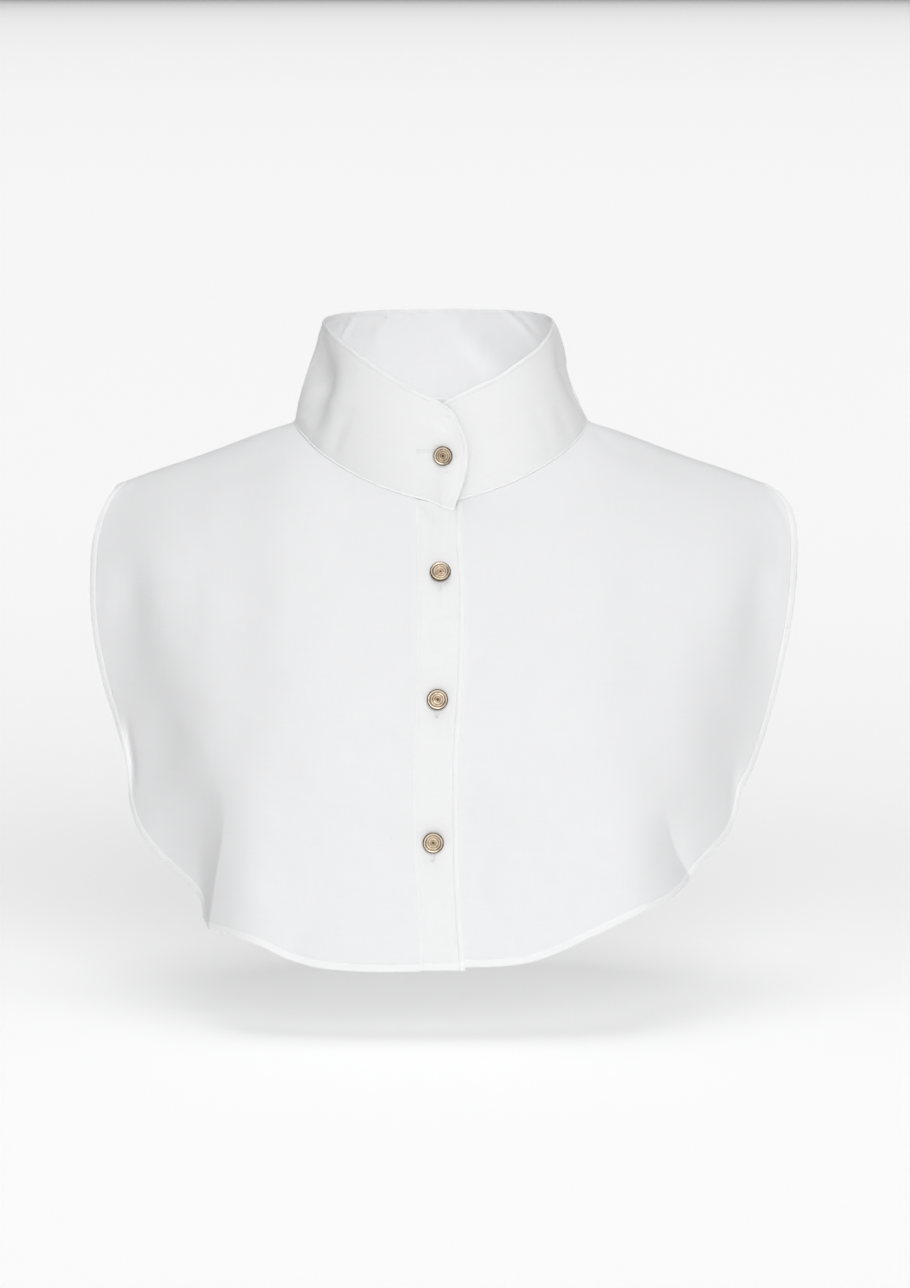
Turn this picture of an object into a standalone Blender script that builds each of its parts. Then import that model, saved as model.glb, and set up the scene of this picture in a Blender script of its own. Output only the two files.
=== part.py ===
# A white false shirt collar, filled out as it is worn but with nobody in it.
# A tall stand collar is sewn on a short bib: two fronts that button down the middle, and one back.
# The front faces -Y, +X is on the viewer's right, and +Z is up. The origin is in the middle of
# the neck opening, level with the neck ends of the shoulder seams.

import math

import bmesh
import bpy
import numpy as np

# Sizes are in millimetres here and become metres when a mesh is made
METRES_PER_MM = 0.001

# Cloth and gaps
CLOTH = 1.2
BAND_CLOTH = 1.6
COLLAR_CLOTH = 2.0
SEAM_GAP = 0.3
HEM_WIDTH = 4.5
HEM_RISE = 0.25
HEM_STEP = 0.8

# How far the left front and the collar's under end lie behind the layer that laps over them
FRONT_LAP = 2.2
COLLAR_LAP = 2.4
LAP_FULL_TO = 16.0
LAP_GONE_AT = 58.0
UNDER_BAND_INSET = 2.0

# Neck opening, and places well inside the bib and the collar
NECK_HALF_WIDTH = 76.0
BIB_MIDDLE = (0.0, 0.0, -150.0)
COLLAR_MIDDLE = (0.0, 0.0, 10.0)

# Neck seam: degrees round from the front, height
NECK_SEAM = (
    (0, -35.4),
    (10, -32.6),
    (20, -29.1),
    (30, -24.7),
    (40, -19.7),
    (50, -14.6),
    (60, -9.4),
    (70, -4.7),
    (80, -1.0),
    (90, 0.6),
    (110, 1.0),
    (130, 2.8),
    (150, 5.5),
    (180, 8.0),
)

# Shoulder seam: across, height, depth. Inside the neck opening it runs on as a smooth rise.
SHOULDER_SEAM = (
    (0, 14.0, 2.0),
    (38, 9.0, 2.0),
    (60, 5.0, 2.0),
    (76, 0.6, 2.0),
    (90, -3.6, 2.4),
    (104, -8.8, 2.8),
    (125, -16.8, 3.5),
    (146, -23.8, 4.2),
    (165, -30.8, 5.0),
    (173, -34.0, 5.3),
    (190, -42.0, 6.0),
)

# Depth of the fronts, a row for each section from the middle out to the side.
# The columns after the first are the depths at these drops below the shoulder seam.
DROPS = (0, 6, 22, 50, 90, 140, 200, 275)
FRONT_SECTIONS = (
    (0, 0, -22, -39, -65.5, -91, -110, -120, -120.5),
    (38, 0, -20, -42, -68, -92, -111.5, -120.5, -120),
    (76, 2, -18.5, -43, -69, -91, -109, -118, -116),
    (100, 2.7, -17, -40, -64.5, -84, -100.5, -111, -109),
    (124, 3.5, -15, -37, -59, -75, -86, -88, -86),
    (146, 4.2, -12, -31, -51, -59, -60, -62, -62),
    (168, 5.1, -6, -19, -34, -33, -34, -40, -42),
    (192, 6, -1, -8, -16, -14, -13, -18, -22),
)

# Depth of the back, laid out in the same way. Its drops in the middle are taken from the nape.
NECK_POINT_HEIGHT = 0.6
NAPE_RISE = 22.0
BACK_SECTIONS = (
    (0, 36, 49, 63.5, 78, 89.5, 95, 95, 92),
    (38, 24, 43, 59, 75, 87, 93, 93, 90),
    (58, 12, 37, 55, 72, 84.5, 91, 91, 88),
    (76, 2, 31, 51, 68, 81, 88, 88, 85),
    (110, 3, 25, 42, 58, 70, 76, 76, 73),
    (140, 4, 18, 32, 45, 55, 60, 60, 57),
    (165, 5, 13, 23, 33, 41, 45, 45, 43),
    (190, 6, 9, 15, 22, 28, 32, 33, 32),
)

# Free edge of the right front, from the band to the shoulder tip: share of the way, across, height
RIGHT_FRONT_EDGE = (
    (0.00, -10.8, -264.6),
    (0.07, -31.0, -264.8),
    (0.15, -61.0, -263.3),
    (0.20, -76.0, -259.9),
    (0.26, -90.9, -252.9),
    (0.32, -106.4, -249.1),
    (0.37, -115.5, -248.2),
    (0.41, -120.9, -246.0),
    (0.45, -122.3, -237.2),
    (0.50, -127.9, -230.3),
    (0.54, -136.2, -224.1),
    (0.60, -148.7, -213.3),
    (0.65, -156.9, -201.9),
    (0.69, -160.5, -189.5),
    (0.73, -161.8, -173.3),
    (0.78, -168.1, -151.8),
    (0.83, -175.0, -130.5),
    (0.87, -179.6, -107.1),
    (0.90, -181.2, -84.0),
    (0.925, -181.0, -66.0),
    (0.945, -178.9, -52.9),
    (0.965, -175.5, -43.3),
    (0.982, -172.1, -37.1),
    (1.00, -167.5, -31.9),
)

# Free edge of the left front, in the same way
LEFT_FRONT_EDGE = (
    (0.00, 7.8, -262.7),
    (0.07, 29.0, -262.0),
    (0.12, 44.4, -260.0),
    (0.17, 59.4, -255.0),
    (0.24, 79.6, -245.7),
    (0.30, 99.9, -236.9),
    (0.35, 113.0, -233.5),
    (0.39, 122.4, -228.5),
    (0.43, 127.9, -222.7),
    (0.48, 135.1, -215.4),
    (0.54, 141.3, -210.1),
    (0.59, 147.5, -203.6),
    (0.63, 151.1, -194.6),
    (0.67, 153.1, -185.5),
    (0.71, 158.9, -175.6),
    (0.75, 165.1, -161.2),
    (0.79, 170.7, -143.3),
    (0.83, 175.8, -122.6),
    (0.87, 180.4, -99.3),
    (0.90, 183.0, -76.4),
    (0.925, 183.9, -60.0),
    (0.945, 182.7, -48.9),
    (0.965, 179.7, -40.9),
    (0.982, 175.4, -36.1),
    (1.00, 170.0, -32.8),
)

# Free edge of the back, from its middle to the left shoulder tip: share of the way, across, height
BACK_EDGE = (
    (0.00, 0.0, -229.0),
    (0.14, 45.0, -227.0),
    (0.26, 85.0, -218.0),
    (0.38, 118.0, -201.0),
    (0.49, 142.0, -176.0),
    (0.60, 158.5, -144.0),
    (0.71, 169.0, -110.0),
    (0.81, 175.0, -80.0),
    (0.89, 177.3, -60.0),
    (0.95, 176.0, -45.5),
    (1.00, 169.0, -32.4),
)

# Deepest line of the long fold in each front, from the shoulder down to the hem:
# across, height, depth, reach towards the middle, reach towards the side
RIGHT_FRONT_FOLD = (
    (-160, -58, 0.0, 8, 10),
    (-157, -87, 3.0, 8, 10),
    (-154, -112, 3.5, 10, 12),
    (-150, -135, 3.0, 12, 14),
    (-137, -160, 3.0, 14, 18),
    (-121, -186, 5.0, 10, 22),
    (-115, -203, 9.0, 5, 26),
    (-119, -225, 12.0, 4, 30),
    (-124, -247, 14.0, 3.5, 32),
)
LEFT_FRONT_FOLD = (
    (168, -55, 0.0, 8, 10),
    (164, -80, 2.0, 8, 10),
    (160, -105, 2.5, 10, 12),
    (154, -130, 2.0, 12, 14),
    (149, -156, 2.0, 14, 16),
    (138, -178, 2.0, 14, 18),
    (121, -194, 4.0, 8, 16),
    (121, -208, 5.0, 7, 16),
    (128, -222, 8.0, 6, 20),
    (130, -230, 8.0, 6, 22),
)
FOLD_STEPS_A_ROW = 12

# Button band: height, its sewn edge, its folded edge
BAND_EDGES = (
    (-28, -13.8, 7.8),
    (-50, -12.4, 6.8),
    (-75, -12.2, 8.8),
    (-100, -12.2, 8.2),
    (-130, -12.5, 8.0),
    (-160, -14.0, 6.4),
    (-205, -13.5, 6.0),
    (-232, -11.6, 7.4),
    (-266, -10.5, 9.6),
)
BAND_BELOW_COLLAR = 0.4
BAND_BOTTOM = -264.0
# Share of the way round a front where it no longer follows the band's edge
BAND_SHAPE_FADES_AT = 0.2

# Collar: half width, lean to the wearer's right, depth of its middle line, front and back, at its top
COLLAR_TOP_HALF_WIDTH = 61.5
COLLAR_TOP_LEAN = 2.9
COLLAR_TOP_MIDDLE = -14.0
COLLAR_TOP_FRONT = -66.0
COLLAR_TOP_BACK = 36.0
COLLAR_WAIST_RIGHT = -1.4
COLLAR_WAIST_LEFT = 0.0
COLLAR_RIDGE = 0.5
COLLAR_RIDGE_WIDTH = 2.2
COLLAR_OVER_END = -5.9
COLLAR_UNDER_END = 370.5
COLLAR_CLOSE_COLUMNS_TO = 22.0
COLLAR_CLOSE_COLUMNS = 9
COLLAR_CORNER_REACH = 7.2
COLLAR_CORNER_RISE = 1.15
COLLAR_CORNER_FADE = 9.0

# Top edge of the collar: degrees round from the front by the wearer's right, height
COLLAR_TOP = (
    (-5.9, 11.8),
    (0, 16.2),
    (10, 21.0),
    (20, 26.2),
    (30, 31.9),
    (42, 38.8),
    (57, 45.8),
    (74, 51.4),
    (90, 54.2),
    (120, 56.2),
    (150, 57.0),
    (180, 57.2),
    (210, 57.0),
    (240, 56.0),
    (270, 53.6),
    (290, 49.2),
    (305, 41.9),
    (318, 36.2),
    (331, 28.9),
    (342, 24.2),
    (350, 20.4),
    (360, 15.0),
    (370.5, 6.5),
)

# Deepest line of each soft fold in the collar: way round, height, depth, reach before, reach after
COLLAR_FOLDS = (
    ((92, 51, 0.6, 9, 10), (86, 44, 3.0, 10, 13), (75, 35, 5.8, 11.5, 15), (64, 26, 6.4, 11, 15),
     (61, 15, 5.4, 9, 13), (61, 5, 2.4, 7, 9), (63, -5, 0.4, 6, 6)),
    ((280, 50, 0.5, 10, 6), (279, 40, 1.8, 14, 7), (278, 30, 3.0, 16, 9), (275, 18, 3.2, 16, 11),
     (271, 5, 1.2, 14, 10), (268, -4, 0.3, 10, 8)),
)

# Buttons
BUTTON_DIAMETER = 11.2
BUTTON_SHANK_DIAMETER = 3.6
BUTTON_SHANK = 1.2
BUTTON_SIDES = 24
# Turned section of the head: share of the radius, height above the shank
BUTTON_HEAD = (
    (0.86, 0.2),
    (1.00, 0.9),
    (1.00, 1.8),
    (0.88, 2.4),
    (0.74, 1.7),
    (0.58, 2.1),
    (0.34, 1.8),
)

# Middles of the buttons: across, height. The one on the collar is sought among so many columns.
BUTTON_TRIES = 200
COLLAR_BUTTON = (0.9, -10.6)
BAND_BUTTONS = ((-0.6, -66.5), (-1.8, -128.6), (-4.0, -199.2))

# Finishes: colour, roughness, metallic
WHITE_CLOTH = ("white_cloth", (0.83, 0.83, 0.84), 0.75, 0.0)
WHITE_BAND = ("white_band", (0.85, 0.85, 0.86), 0.72, 0.0)
WHITE_COLLAR = ("white_collar", (0.84, 0.84, 0.85), 0.72, 0.0)
OLD_GOLD = ("old_gold", (0.50, 0.42, 0.30), 0.38, 1.0)


def smooth(keys, values, at):
    """Smooth curve through the values at the keys; the values may have a column for each place."""
    keys = np.asarray(keys, float)
    values = np.asarray(values, float)
    at = np.clip(np.asarray(at, float), keys[0], keys[-1])
    if values.ndim == 1:
        values = np.repeat(values[:, None], at.size, axis=1).reshape((len(keys),) + at.shape)
    gaps = np.diff(keys).reshape((-1,) + (1,) * at.ndim)
    slopes = np.diff(values, axis=0) / gaps
    tangents = np.concatenate([slopes[:1], slopes[:-1], slopes[-1:]])
    tangents[1:-1] = (slopes[:-1] * gaps[1:] + slopes[1:] * gaps[:-1]) / (gaps[1:] + gaps[:-1])
    least = 3 * np.minimum(np.abs(slopes[:-1]), np.abs(slopes[1:]))
    turns_back = slopes[:-1] * slopes[1:] <= 0
    tangents[1:-1] = np.where(turns_back, 0, np.clip(tangents[1:-1], -least, least))
    left = np.clip(np.searchsorted(keys, at, side="right") - 1, 0, len(keys) - 2)
    gap = np.diff(keys)[left]
    t = (at - keys[left]) / gap

    def pick(table, index):
        return np.take_along_axis(table, index[None], axis=0)[0]

    return (
        pick(values, left) * (1 + 2 * t) * (1 - t) ** 2
        + pick(tangents, left) * gap * t * (1 - t) ** 2
        + pick(values, left + 1) * t * t * (3 - 2 * t)
        - pick(tangents, left + 1) * gap * t * t * (1 - t)
    )


def column(table, number):
    return [row[number] for row in table]


def fold_depth(fold, across, height):
    """How far one fold sinks the cloth at each place."""
    steps = np.linspace(0, len(fold) - 1, FOLD_STEPS_A_ROW * len(fold))
    line = [smooth(range(len(fold)), column(fold, k), steps) for k in range(5)]
    away_x = across[..., None] - line[0]
    away_z = height[..., None] - line[1]
    nearest = np.argmin(away_x ** 2 + away_z ** 2, axis=-1)
    along_x = np.gradient(line[0])[nearest]
    along_z = np.gradient(line[1])[nearest]
    dx = np.take_along_axis(away_x, nearest[..., None], axis=-1)[..., 0]
    dz = np.take_along_axis(away_z, nearest[..., None], axis=-1)[..., 0]
    on_first_side = (along_x * dz - along_z * dx) * math.copysign(1.0, line[0].mean()) < 0
    reach = np.where(on_first_side, line[3][nearest], line[4][nearest])
    return line[2][nearest] * np.exp(-(dx ** 2 + dz ** 2) / reach ** 2)


def shoulder_seam(across, which):
    """Height (1) or depth (2) of the shoulder seam."""
    return smooth(column(SHOULDER_SEAM, 0), column(SHOULDER_SEAM, which), np.abs(across))


def section_depth(sections, across, drop):
    """Depth between the sections; near the shoulder it follows the root of the drop, so it is round."""
    across = np.abs(across)
    mirrored = (sections[1],) + sections
    keys = [-sections[1][0]] + column(sections, 0)
    roots = np.sqrt(DROPS)
    at = np.sqrt(np.maximum(drop, 0.0))
    depths = np.stack([smooth(roots, row[1:], at) for row in mirrored])
    return smooth(keys, depths, across)


def front_depth(across, height):
    """Outer face of the fronts, folds included."""
    depth = section_depth(FRONT_SECTIONS, across, shoulder_seam(across, 1) - height)
    for fold in (RIGHT_FRONT_FOLD, LEFT_FRONT_FOLD):
        depth = depth + fold_depth(fold, across, height)
    return depth


def back_depth(across, height):
    """Outer face of the back, whose middle hangs from the nape."""
    rise = NAPE_RISE * np.clip(1 - (across / NECK_HALF_WIDTH) ** 2, 0, None)
    drop = np.minimum(shoulder_seam(across, 1), NECK_POINT_HEIGHT) + rise - height
    return section_depth(BACK_SECTIONS, across, drop)


def lap(across, full):
    """Set-back of a layer that lies under the one lapped over it near the middle."""
    share = np.clip((LAP_GONE_AT - across) / (LAP_GONE_AT - LAP_FULL_TO), 0, 1)
    return full * share * share * (3 - 2 * share)


def neck_height(degrees):
    """Height of the neck seam, the same on both sides."""
    folded = np.abs((np.asarray(degrees, float) + 180) % 360 - 180)
    return smooth(column(NECK_SEAM, 0), column(NECK_SEAM, 1), folded)


def unit(vectors):
    return vectors / np.linalg.norm(vectors, axis=-1, keepdims=True)


def face_directions(grid, away_from):
    """Unit direction out of the cloth at each point of a grid."""
    directions = unit(np.cross(np.gradient(grid, axis=0), np.gradient(grid, axis=1)))
    outwards = ((grid - away_from) * directions).sum()
    return directions * math.copysign(1.0, outwards)


def material(finish):
    name, colour, roughness, metallic = finish
    made = bpy.data.materials.get(name) or bpy.data.materials.new(name)
    made.use_nodes = True
    shader = made.node_tree.nodes["Principled BSDF"]
    shader.inputs["Base Color"].default_value = (*colour, 1.0)
    shader.inputs["Roughness"].default_value = roughness
    shader.inputs["Metallic"].default_value = metallic
    made.diffuse_color = (*colour, 1.0)
    return made


def add_object(name, points, faces, finish, sharp_degrees):
    mesh = bpy.data.meshes.new(name)
    mesh.from_pydata([tuple(float(c) * METRES_PER_MM for c in p) for p in points], [], faces)
    mesh.validate()
    whole = bmesh.new()
    whole.from_mesh(mesh)
    bmesh.ops.recalc_face_normals(whole, faces=whole.faces)
    whole.to_mesh(mesh)
    whole.free()
    mesh.shade_smooth()
    mesh.set_sharp_from_angle(angle=math.radians(sharp_degrees))
    mesh.materials.append(material(finish))
    made = bpy.data.objects.new(name, mesh)
    bpy.context.scene.collection.objects.link(made)
    return made


def add_wall(name, outer, inner, finish):
    """Closed cloth wall between two grids of the same size."""
    columns, rows = outer.shape[:2]
    count = columns * rows
    number = np.arange(count).reshape(columns, rows).tolist()
    faces = []
    for i in range(columns - 1):
        for j in range(rows - 1):
            quad = [number[i][j], number[i + 1][j], number[i + 1][j + 1], number[i][j + 1]]
            faces.append(quad)
            faces.append([n + count for n in reversed(quad)])
    rim = [number[i][0] for i in range(columns)]
    rim += number[-1][1:]
    rim += [number[i][-1] for i in reversed(range(columns - 1))]
    rim += number[0][-2:0:-1]
    for start, end in zip(rim, rim[1:] + rim[:1]):
        faces.append([end, start, start + count, end + count])
    return add_object(name, np.concatenate([outer.reshape(-1, 3), inner.reshape(-1, 3)]), faces, finish, 50)


def rows_to_edge(lengths, rows, width):
    """Shares of the way to an edge, with two rows close together at the width from it."""
    inside = (width + HEM_STEP) / lengths
    shares = [(1 - inside) * k / (rows - 1) for k in range(rows)]
    return np.stack(shares + [1 - width / lengths, np.ones_like(lengths)], axis=1)


def face_of(places, depth_of, set_back):
    """Points of an outer face, and the direction out of it at each."""
    across, height = places[..., 0], places[..., 1]
    outer = np.stack([across, depth_of(across, height) + set_back, height], axis=-1)
    return outer, face_directions(outer, BIB_MIDDLE)


def add_panel(name, neck, edge, rows, depth_of, shoulder_ends, half_gap, stray=None, full_lap=0.0):
    """Panel from the neck seam to the free edge, with a thicker turned hem and shoulder seam ends."""
    shares = rows_to_edge(np.linalg.norm(edge - neck, axis=1), rows, HEM_WIDTH)[..., None]
    places = neck[:, None] * (1 - shares) + edge[:, None] * shares
    for end in shoulder_ends:
        places[end, :, 1] = shoulder_seam(places[end, :, 0], 1)
    if stray:
        places[..., 0] += stray(places)
    outer, directions = face_of(places, depth_of, lap(places[..., 0], full_lap))
    for end in shoulder_ends:
        outer[end, :, 1] = shoulder_seam(places[end, :, 0], 2) + half_gap
        directions[end, :, 1] = 0
    directions = unit(directions)
    rise = np.zeros(places.shape[:2] + (1,))
    rise[:, -2:] = HEM_RISE
    return add_wall(name, outer + directions * rise, outer - directions * (CLOTH + rise), WHITE_CLOTH)


def edge_places(table, shares):
    return np.stack([smooth(column(table, 0), column(table, k), shares) for k in (1, 2)], axis=1)


def neck_places(degrees):
    return np.stack([NECK_HALF_WIDTH * np.sin(np.radians(degrees)), neck_height(degrees)], axis=1)


def band_edge(height, which):
    """Sewn edge (1) or folded edge (2) of the button band at a height."""
    table = BAND_EDGES[::-1]
    return smooth(column(table, 0), column(table, which), height)


def add_front(name, side, edge_table, band_side, full_lap, columns, rows):
    """One front: side is -1 for the wearer's right and +1 for the wearer's left."""
    shares = np.linspace(0, 1, columns)
    start = math.degrees(math.asin(abs(band_side(neck_height([0]))[0]) / NECK_HALF_WIDTH))
    neck = neck_places(start + (90 - start) * shares) * [side, 1]
    fade = np.clip(1 - shares[:, None] / BAND_SHAPE_FADES_AT, 0, 1) ** 2

    def along_band(places):
        return (band_side(places[0, :, 1]) - places[0, :, 0]) * fade

    edge = edge_places(edge_table, shares)
    add_panel(name, neck, edge, rows, front_depth, (-1,), -SEAM_GAP / 2, along_band, full_lap)


def add_back(columns, rows):
    ways = np.linspace(-1, 1, columns)
    sides = np.stack([np.sign(ways), np.ones(columns)], axis=1)
    neck = neck_places(180 - 90 * np.abs(ways)) * sides
    edge = edge_places(BACK_EDGE, np.abs(ways)) * sides
    add_panel("back", neck, edge, rows, back_depth, (0, -1), SEAM_GAP / 2)


def add_band(name, left_inset, right_inset, set_back, thickness, columns, rows):
    """Straight strip down the middle, from the neck seam to the hem."""
    across = np.linspace(0, 1, columns)[:, None]
    down = np.linspace(0, 1, rows)[None]
    usual = BAND_EDGES[0][1] * (1 - across) + BAND_EDGES[0][2] * across
    neck = neck_height(np.degrees(np.arcsin(usual / NECK_HALF_WIDTH))) - BAND_BELOW_COLLAR
    heights = neck * (1 - down) + BAND_BOTTOM * down
    left = band_edge(heights, 1) + left_inset
    right = band_edge(heights, 2) - right_inset
    places = np.stack([left * (1 - across) + right * across, heights], axis=-1)
    outer, directions = face_of(places, front_depth, set_back)
    lift = thickness - CLOTH
    add_wall(name, outer + directions * lift, outer - directions * CLOTH, WHITE_BAND)


def collar_rings(degrees):
    """Points of the neck seam and of the top edge at each angle round the neck."""
    turn = np.radians(degrees)
    across = -NECK_HALF_WIDTH * np.sin(turn)
    height = neck_height(degrees)
    in_front = np.cos(turn) > 0
    depth = np.where(in_front, front_depth(across, height), back_depth(across, height))
    reach = np.where(in_front, COLLAR_TOP_MIDDLE - COLLAR_TOP_FRONT, COLLAR_TOP_BACK - COLLAR_TOP_MIDDLE)
    leftward = (1 - np.sin(turn)) / 2
    top_across = -COLLAR_TOP_HALF_WIDTH * np.sin(turn) - COLLAR_TOP_LEAN * leftward ** 3
    top_depth = COLLAR_TOP_MIDDLE - reach * np.cos(turn)
    top_height = smooth(column(COLLAR_TOP, 0), column(COLLAR_TOP, 1), degrees)
    seam = np.stack([across, depth, height + SEAM_GAP], axis=-1)
    return seam, np.stack([top_across, top_depth, top_height], axis=-1)


def collar_face(degrees, up):
    """Outer face of the collar; up is the share of the way from the neck seam to the top edge."""
    seam, top = collar_rings(degrees)
    face = seam[:, None] * (1 - up[..., None]) + top[:, None] * up[..., None]
    from_end = np.radians(degrees - COLLAR_OVER_END)[:, None] * NECK_HALF_WIDTH
    corner = COLLAR_CORNER_REACH * np.sin(math.pi * up ** COLLAR_CORNER_RISE)
    face[..., 0] += corner * np.exp(-(from_end / COLLAR_CORNER_FADE) ** 2)
    directions = face_directions(face, COLLAR_MIDDLE)
    leftward = (1 - np.sin(np.radians(degrees))) / 2
    waist = COLLAR_WAIST_RIGHT * (1 - leftward) + COLLAR_WAIST_LEFT * leftward
    sink = waist[:, None] * np.sin(math.pi * up)
    for fold in COLLAR_FOLDS:
        sink = sink + fold_depth(fold, np.broadcast_to(degrees[:, None], up.shape), face[..., 2])
    sink = sink + np.where(degrees > 270, lap(seam[:, 0], COLLAR_LAP), 0.0)[:, None]
    return face - directions * sink[..., None], directions


def add_collar(columns, rows):
    close = np.linspace(COLLAR_OVER_END, COLLAR_CLOSE_COLUMNS_TO, COLLAR_CLOSE_COLUMNS)
    degrees = np.concatenate([close, np.linspace(COLLAR_CLOSE_COLUMNS_TO, COLLAR_UNDER_END, columns)[1:]])
    seam, top = collar_rings(degrees)
    up = 1 - rows_to_edge(np.linalg.norm(top - seam, axis=1), rows, COLLAR_RIDGE_WIDTH)[:, ::-1]
    outer, directions = collar_face(degrees, up)
    ridge = np.zeros(up.shape + (1,))
    ridge[:, :2] = COLLAR_RIDGE
    add_wall("collar", outer + directions * ridge, outer - directions * COLLAR_CLOTH, WHITE_COLLAR)


def add_button(name, seat, direction):
    """Turned button with a rim, a groove and a low middle, on a short shank."""
    shank = BUTTON_SHANK_DIAMETER / 2
    profile = [(shank, 0.0), (shank, BUTTON_SHANK)]
    profile += [(share * BUTTON_DIAMETER / 2, BUTTON_SHANK + height) for share, height in BUTTON_HEAD]
    side = unit(np.cross(direction, [0.0, 0.0, 1.0]))
    rise = np.cross(side, direction)
    start = seat + direction * SEAM_GAP
    points = []
    for step in range(BUTTON_SIDES):
        turn = math.tau * step / BUTTON_SIDES
        spoke = math.cos(turn) * side + math.sin(turn) * rise
        points += [start + direction * out + spoke * reach for reach, out in profile]
    ring = len(profile)
    faces = []
    for step in range(BUTTON_SIDES):
        here = step * ring
        there = (step + 1) % BUTTON_SIDES * ring
        faces += [[here + k, there + k, there + k + 1, here + k + 1] for k in range(ring - 1)]
    faces.append([step * ring for step in range(BUTTON_SIDES)])
    faces.append([step * ring + ring - 1 for step in reversed(range(BUTTON_SIDES))])
    add_object(name, points, faces, OLD_GOLD, 40)


for old in list(bpy.data.objects):
    bpy.data.objects.remove(old)

add_front("front_right", -1, RIGHT_FRONT_EDGE, lambda z: band_edge(z, 1) - SEAM_GAP, 0.0, 33, 21)
add_front("front_left", 1, LEFT_FRONT_EDGE, lambda z: band_edge(z, 2) + SEAM_GAP - UNDER_BAND_INSET,
          FRONT_LAP, 33, 21)
add_back(33, 14)
add_band("placket_top", 0.0, 0.0, 0.0, BAND_CLOTH, 4, 27)
add_band("placket_under", UNDER_BAND_INSET, UNDER_BAND_INSET, FRONT_LAP, CLOTH, 4, 27)
add_collar(84, 8)

# The top button is on the collar, the rest are on the band. Each looks out as the cloth round it does.
near = np.array([-1.0, 0.0, 1.0])
across, height = COLLAR_BUTTON
degrees = np.linspace(COLLAR_OVER_END, COLLAR_CLOSE_COLUMNS_TO, BUTTON_TRIES)
seams, tops = collar_rings(degrees)
tall = tops[:, 2:] - seams[:, 2:]
face, directions = collar_face(degrees, (height + near - seams[:, 2:]) / tall)
spot = np.argmin(np.abs(face[:, 1, 0] - across))
add_button("button_1", face[spot, 1], directions[spot, 1])
for number, (across, height) in enumerate(BAND_BUTTONS, start=2):
    places = np.stack(np.meshgrid(across + near, height + near, indexing="ij"), axis=-1)
    face, directions = face_of(places, front_depth, 0.0)
    add_button(f"button_{number}", face[1, 1] + directions[1, 1] * (BAND_CLOTH - CLOTH), directions[1, 1])
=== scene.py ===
# A white false shirt collar, filled out as it is worn but with nobody in it.
# It is made in a sewer's order: fronts, back, button bands, stand collar, buttons, then the studio.
# The front faces -Y, +X is on the viewer's right and +Z is up. Lengths are millimetres until a
# mesh is made.

import math

import bpy
import numpy as np
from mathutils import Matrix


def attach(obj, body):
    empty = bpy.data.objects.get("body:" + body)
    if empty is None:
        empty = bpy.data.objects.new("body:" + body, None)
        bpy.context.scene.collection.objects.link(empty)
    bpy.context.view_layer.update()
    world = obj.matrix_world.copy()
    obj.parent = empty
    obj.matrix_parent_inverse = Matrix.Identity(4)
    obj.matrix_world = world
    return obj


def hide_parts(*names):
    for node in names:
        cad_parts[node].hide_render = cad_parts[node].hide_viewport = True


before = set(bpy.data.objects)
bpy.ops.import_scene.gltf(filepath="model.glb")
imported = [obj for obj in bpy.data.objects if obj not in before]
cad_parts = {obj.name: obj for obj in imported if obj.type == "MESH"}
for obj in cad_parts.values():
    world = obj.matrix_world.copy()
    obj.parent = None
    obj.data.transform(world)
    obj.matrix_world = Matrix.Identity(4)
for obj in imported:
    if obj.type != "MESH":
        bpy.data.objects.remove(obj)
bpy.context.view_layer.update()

# The two fronts: one layer of fine white crepe each, hung from the neck seam and the shoulder
# seam. Each free edge is a narrow hem turned in twice and sewn with one row of small stitches.
# The cloth is 0.5 mm thick here, and doubled in the hem.

METRES_PER_MM = 0.001
CLOTH_THICKNESS = 0.5
# A distance along the cloth that is past the end of every piece
CLOTH_END = 400.0
HEM_STITCH_LINE = 4.1
FRONT_LAP = 0.45
LAP_FULL_TO = 16.0
LAP_GONE_AT = 58.0
SEAM_GAP = 0.05
SHARP_DEGREES = 50
NECK_HALF_WIDTH = 76.0
NECK_POINT_TUCK = 0.9
NECK_POINT_FROM = 0.97
BIB_MIDDLE = (0.0, 0.0, -150.0)
FRONT_COLUMNS = 176
SHOULDER_COLUMNS = 16
SHOULDER_COLUMNS_FROM = 0.97
FRONT_ROWS = 108

# Neck seam: degrees round from the front, height
NECK_SEAM = (
    (0, -35.4), (10, -32.6), (20, -29.1), (30, -24.7), (40, -19.7), (50, -14.6), (60, -9.4),
    (70, -4.7), (80, -1.0), (90, 0.6), (110, 1.0), (130, 2.8), (150, 5.5), (180, 8.0),
)

# Shoulder seam: across, height, depth. Inside the neck opening it runs on as a smooth rise.
SHOULDER_SEAM = (
    (0, 14.0, 2.0), (38, 9.0, 2.0), (60, 5.0, 2.0), (76, 0.6, 2.0),
    (90, -3.6, 2.4), (104, -8.8, 2.8), (125, -16.8, 3.5), (146, -23.8, 4.2),
    (165, -30.8, 5.0), (173, -34.0, 5.3), (190, -42.0, 6.0),
)

# Depth of the fronts, a row for each section from the middle out to the side.
# The columns after the first are the depths at these drops below the shoulder seam.
DROPS = (0, 6, 22, 50, 90, 140, 200, 275)
FRONT_SECTIONS = (
    (0, 0, -22, -39, -65.5, -91, -110, -120, -120.5),
    (38, 0, -20, -42, -68, -92, -111.5, -120.5, -120),
    (76, 2, -18.5, -43, -69, -91, -109, -118, -116),
    (100, 2.7, -17, -40, -64.5, -84, -100.5, -111, -109),
    (124, 3.5, -15, -37, -59, -75, -86, -88, -86),
    (146, 4.2, -12, -31, -51, -59, -60, -62, -62),
    (168, 5.1, -6, -19, -34, -33, -34, -40, -42),
    (192, 6, -1, -8, -16, -14, -13, -18, -22),
)

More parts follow.
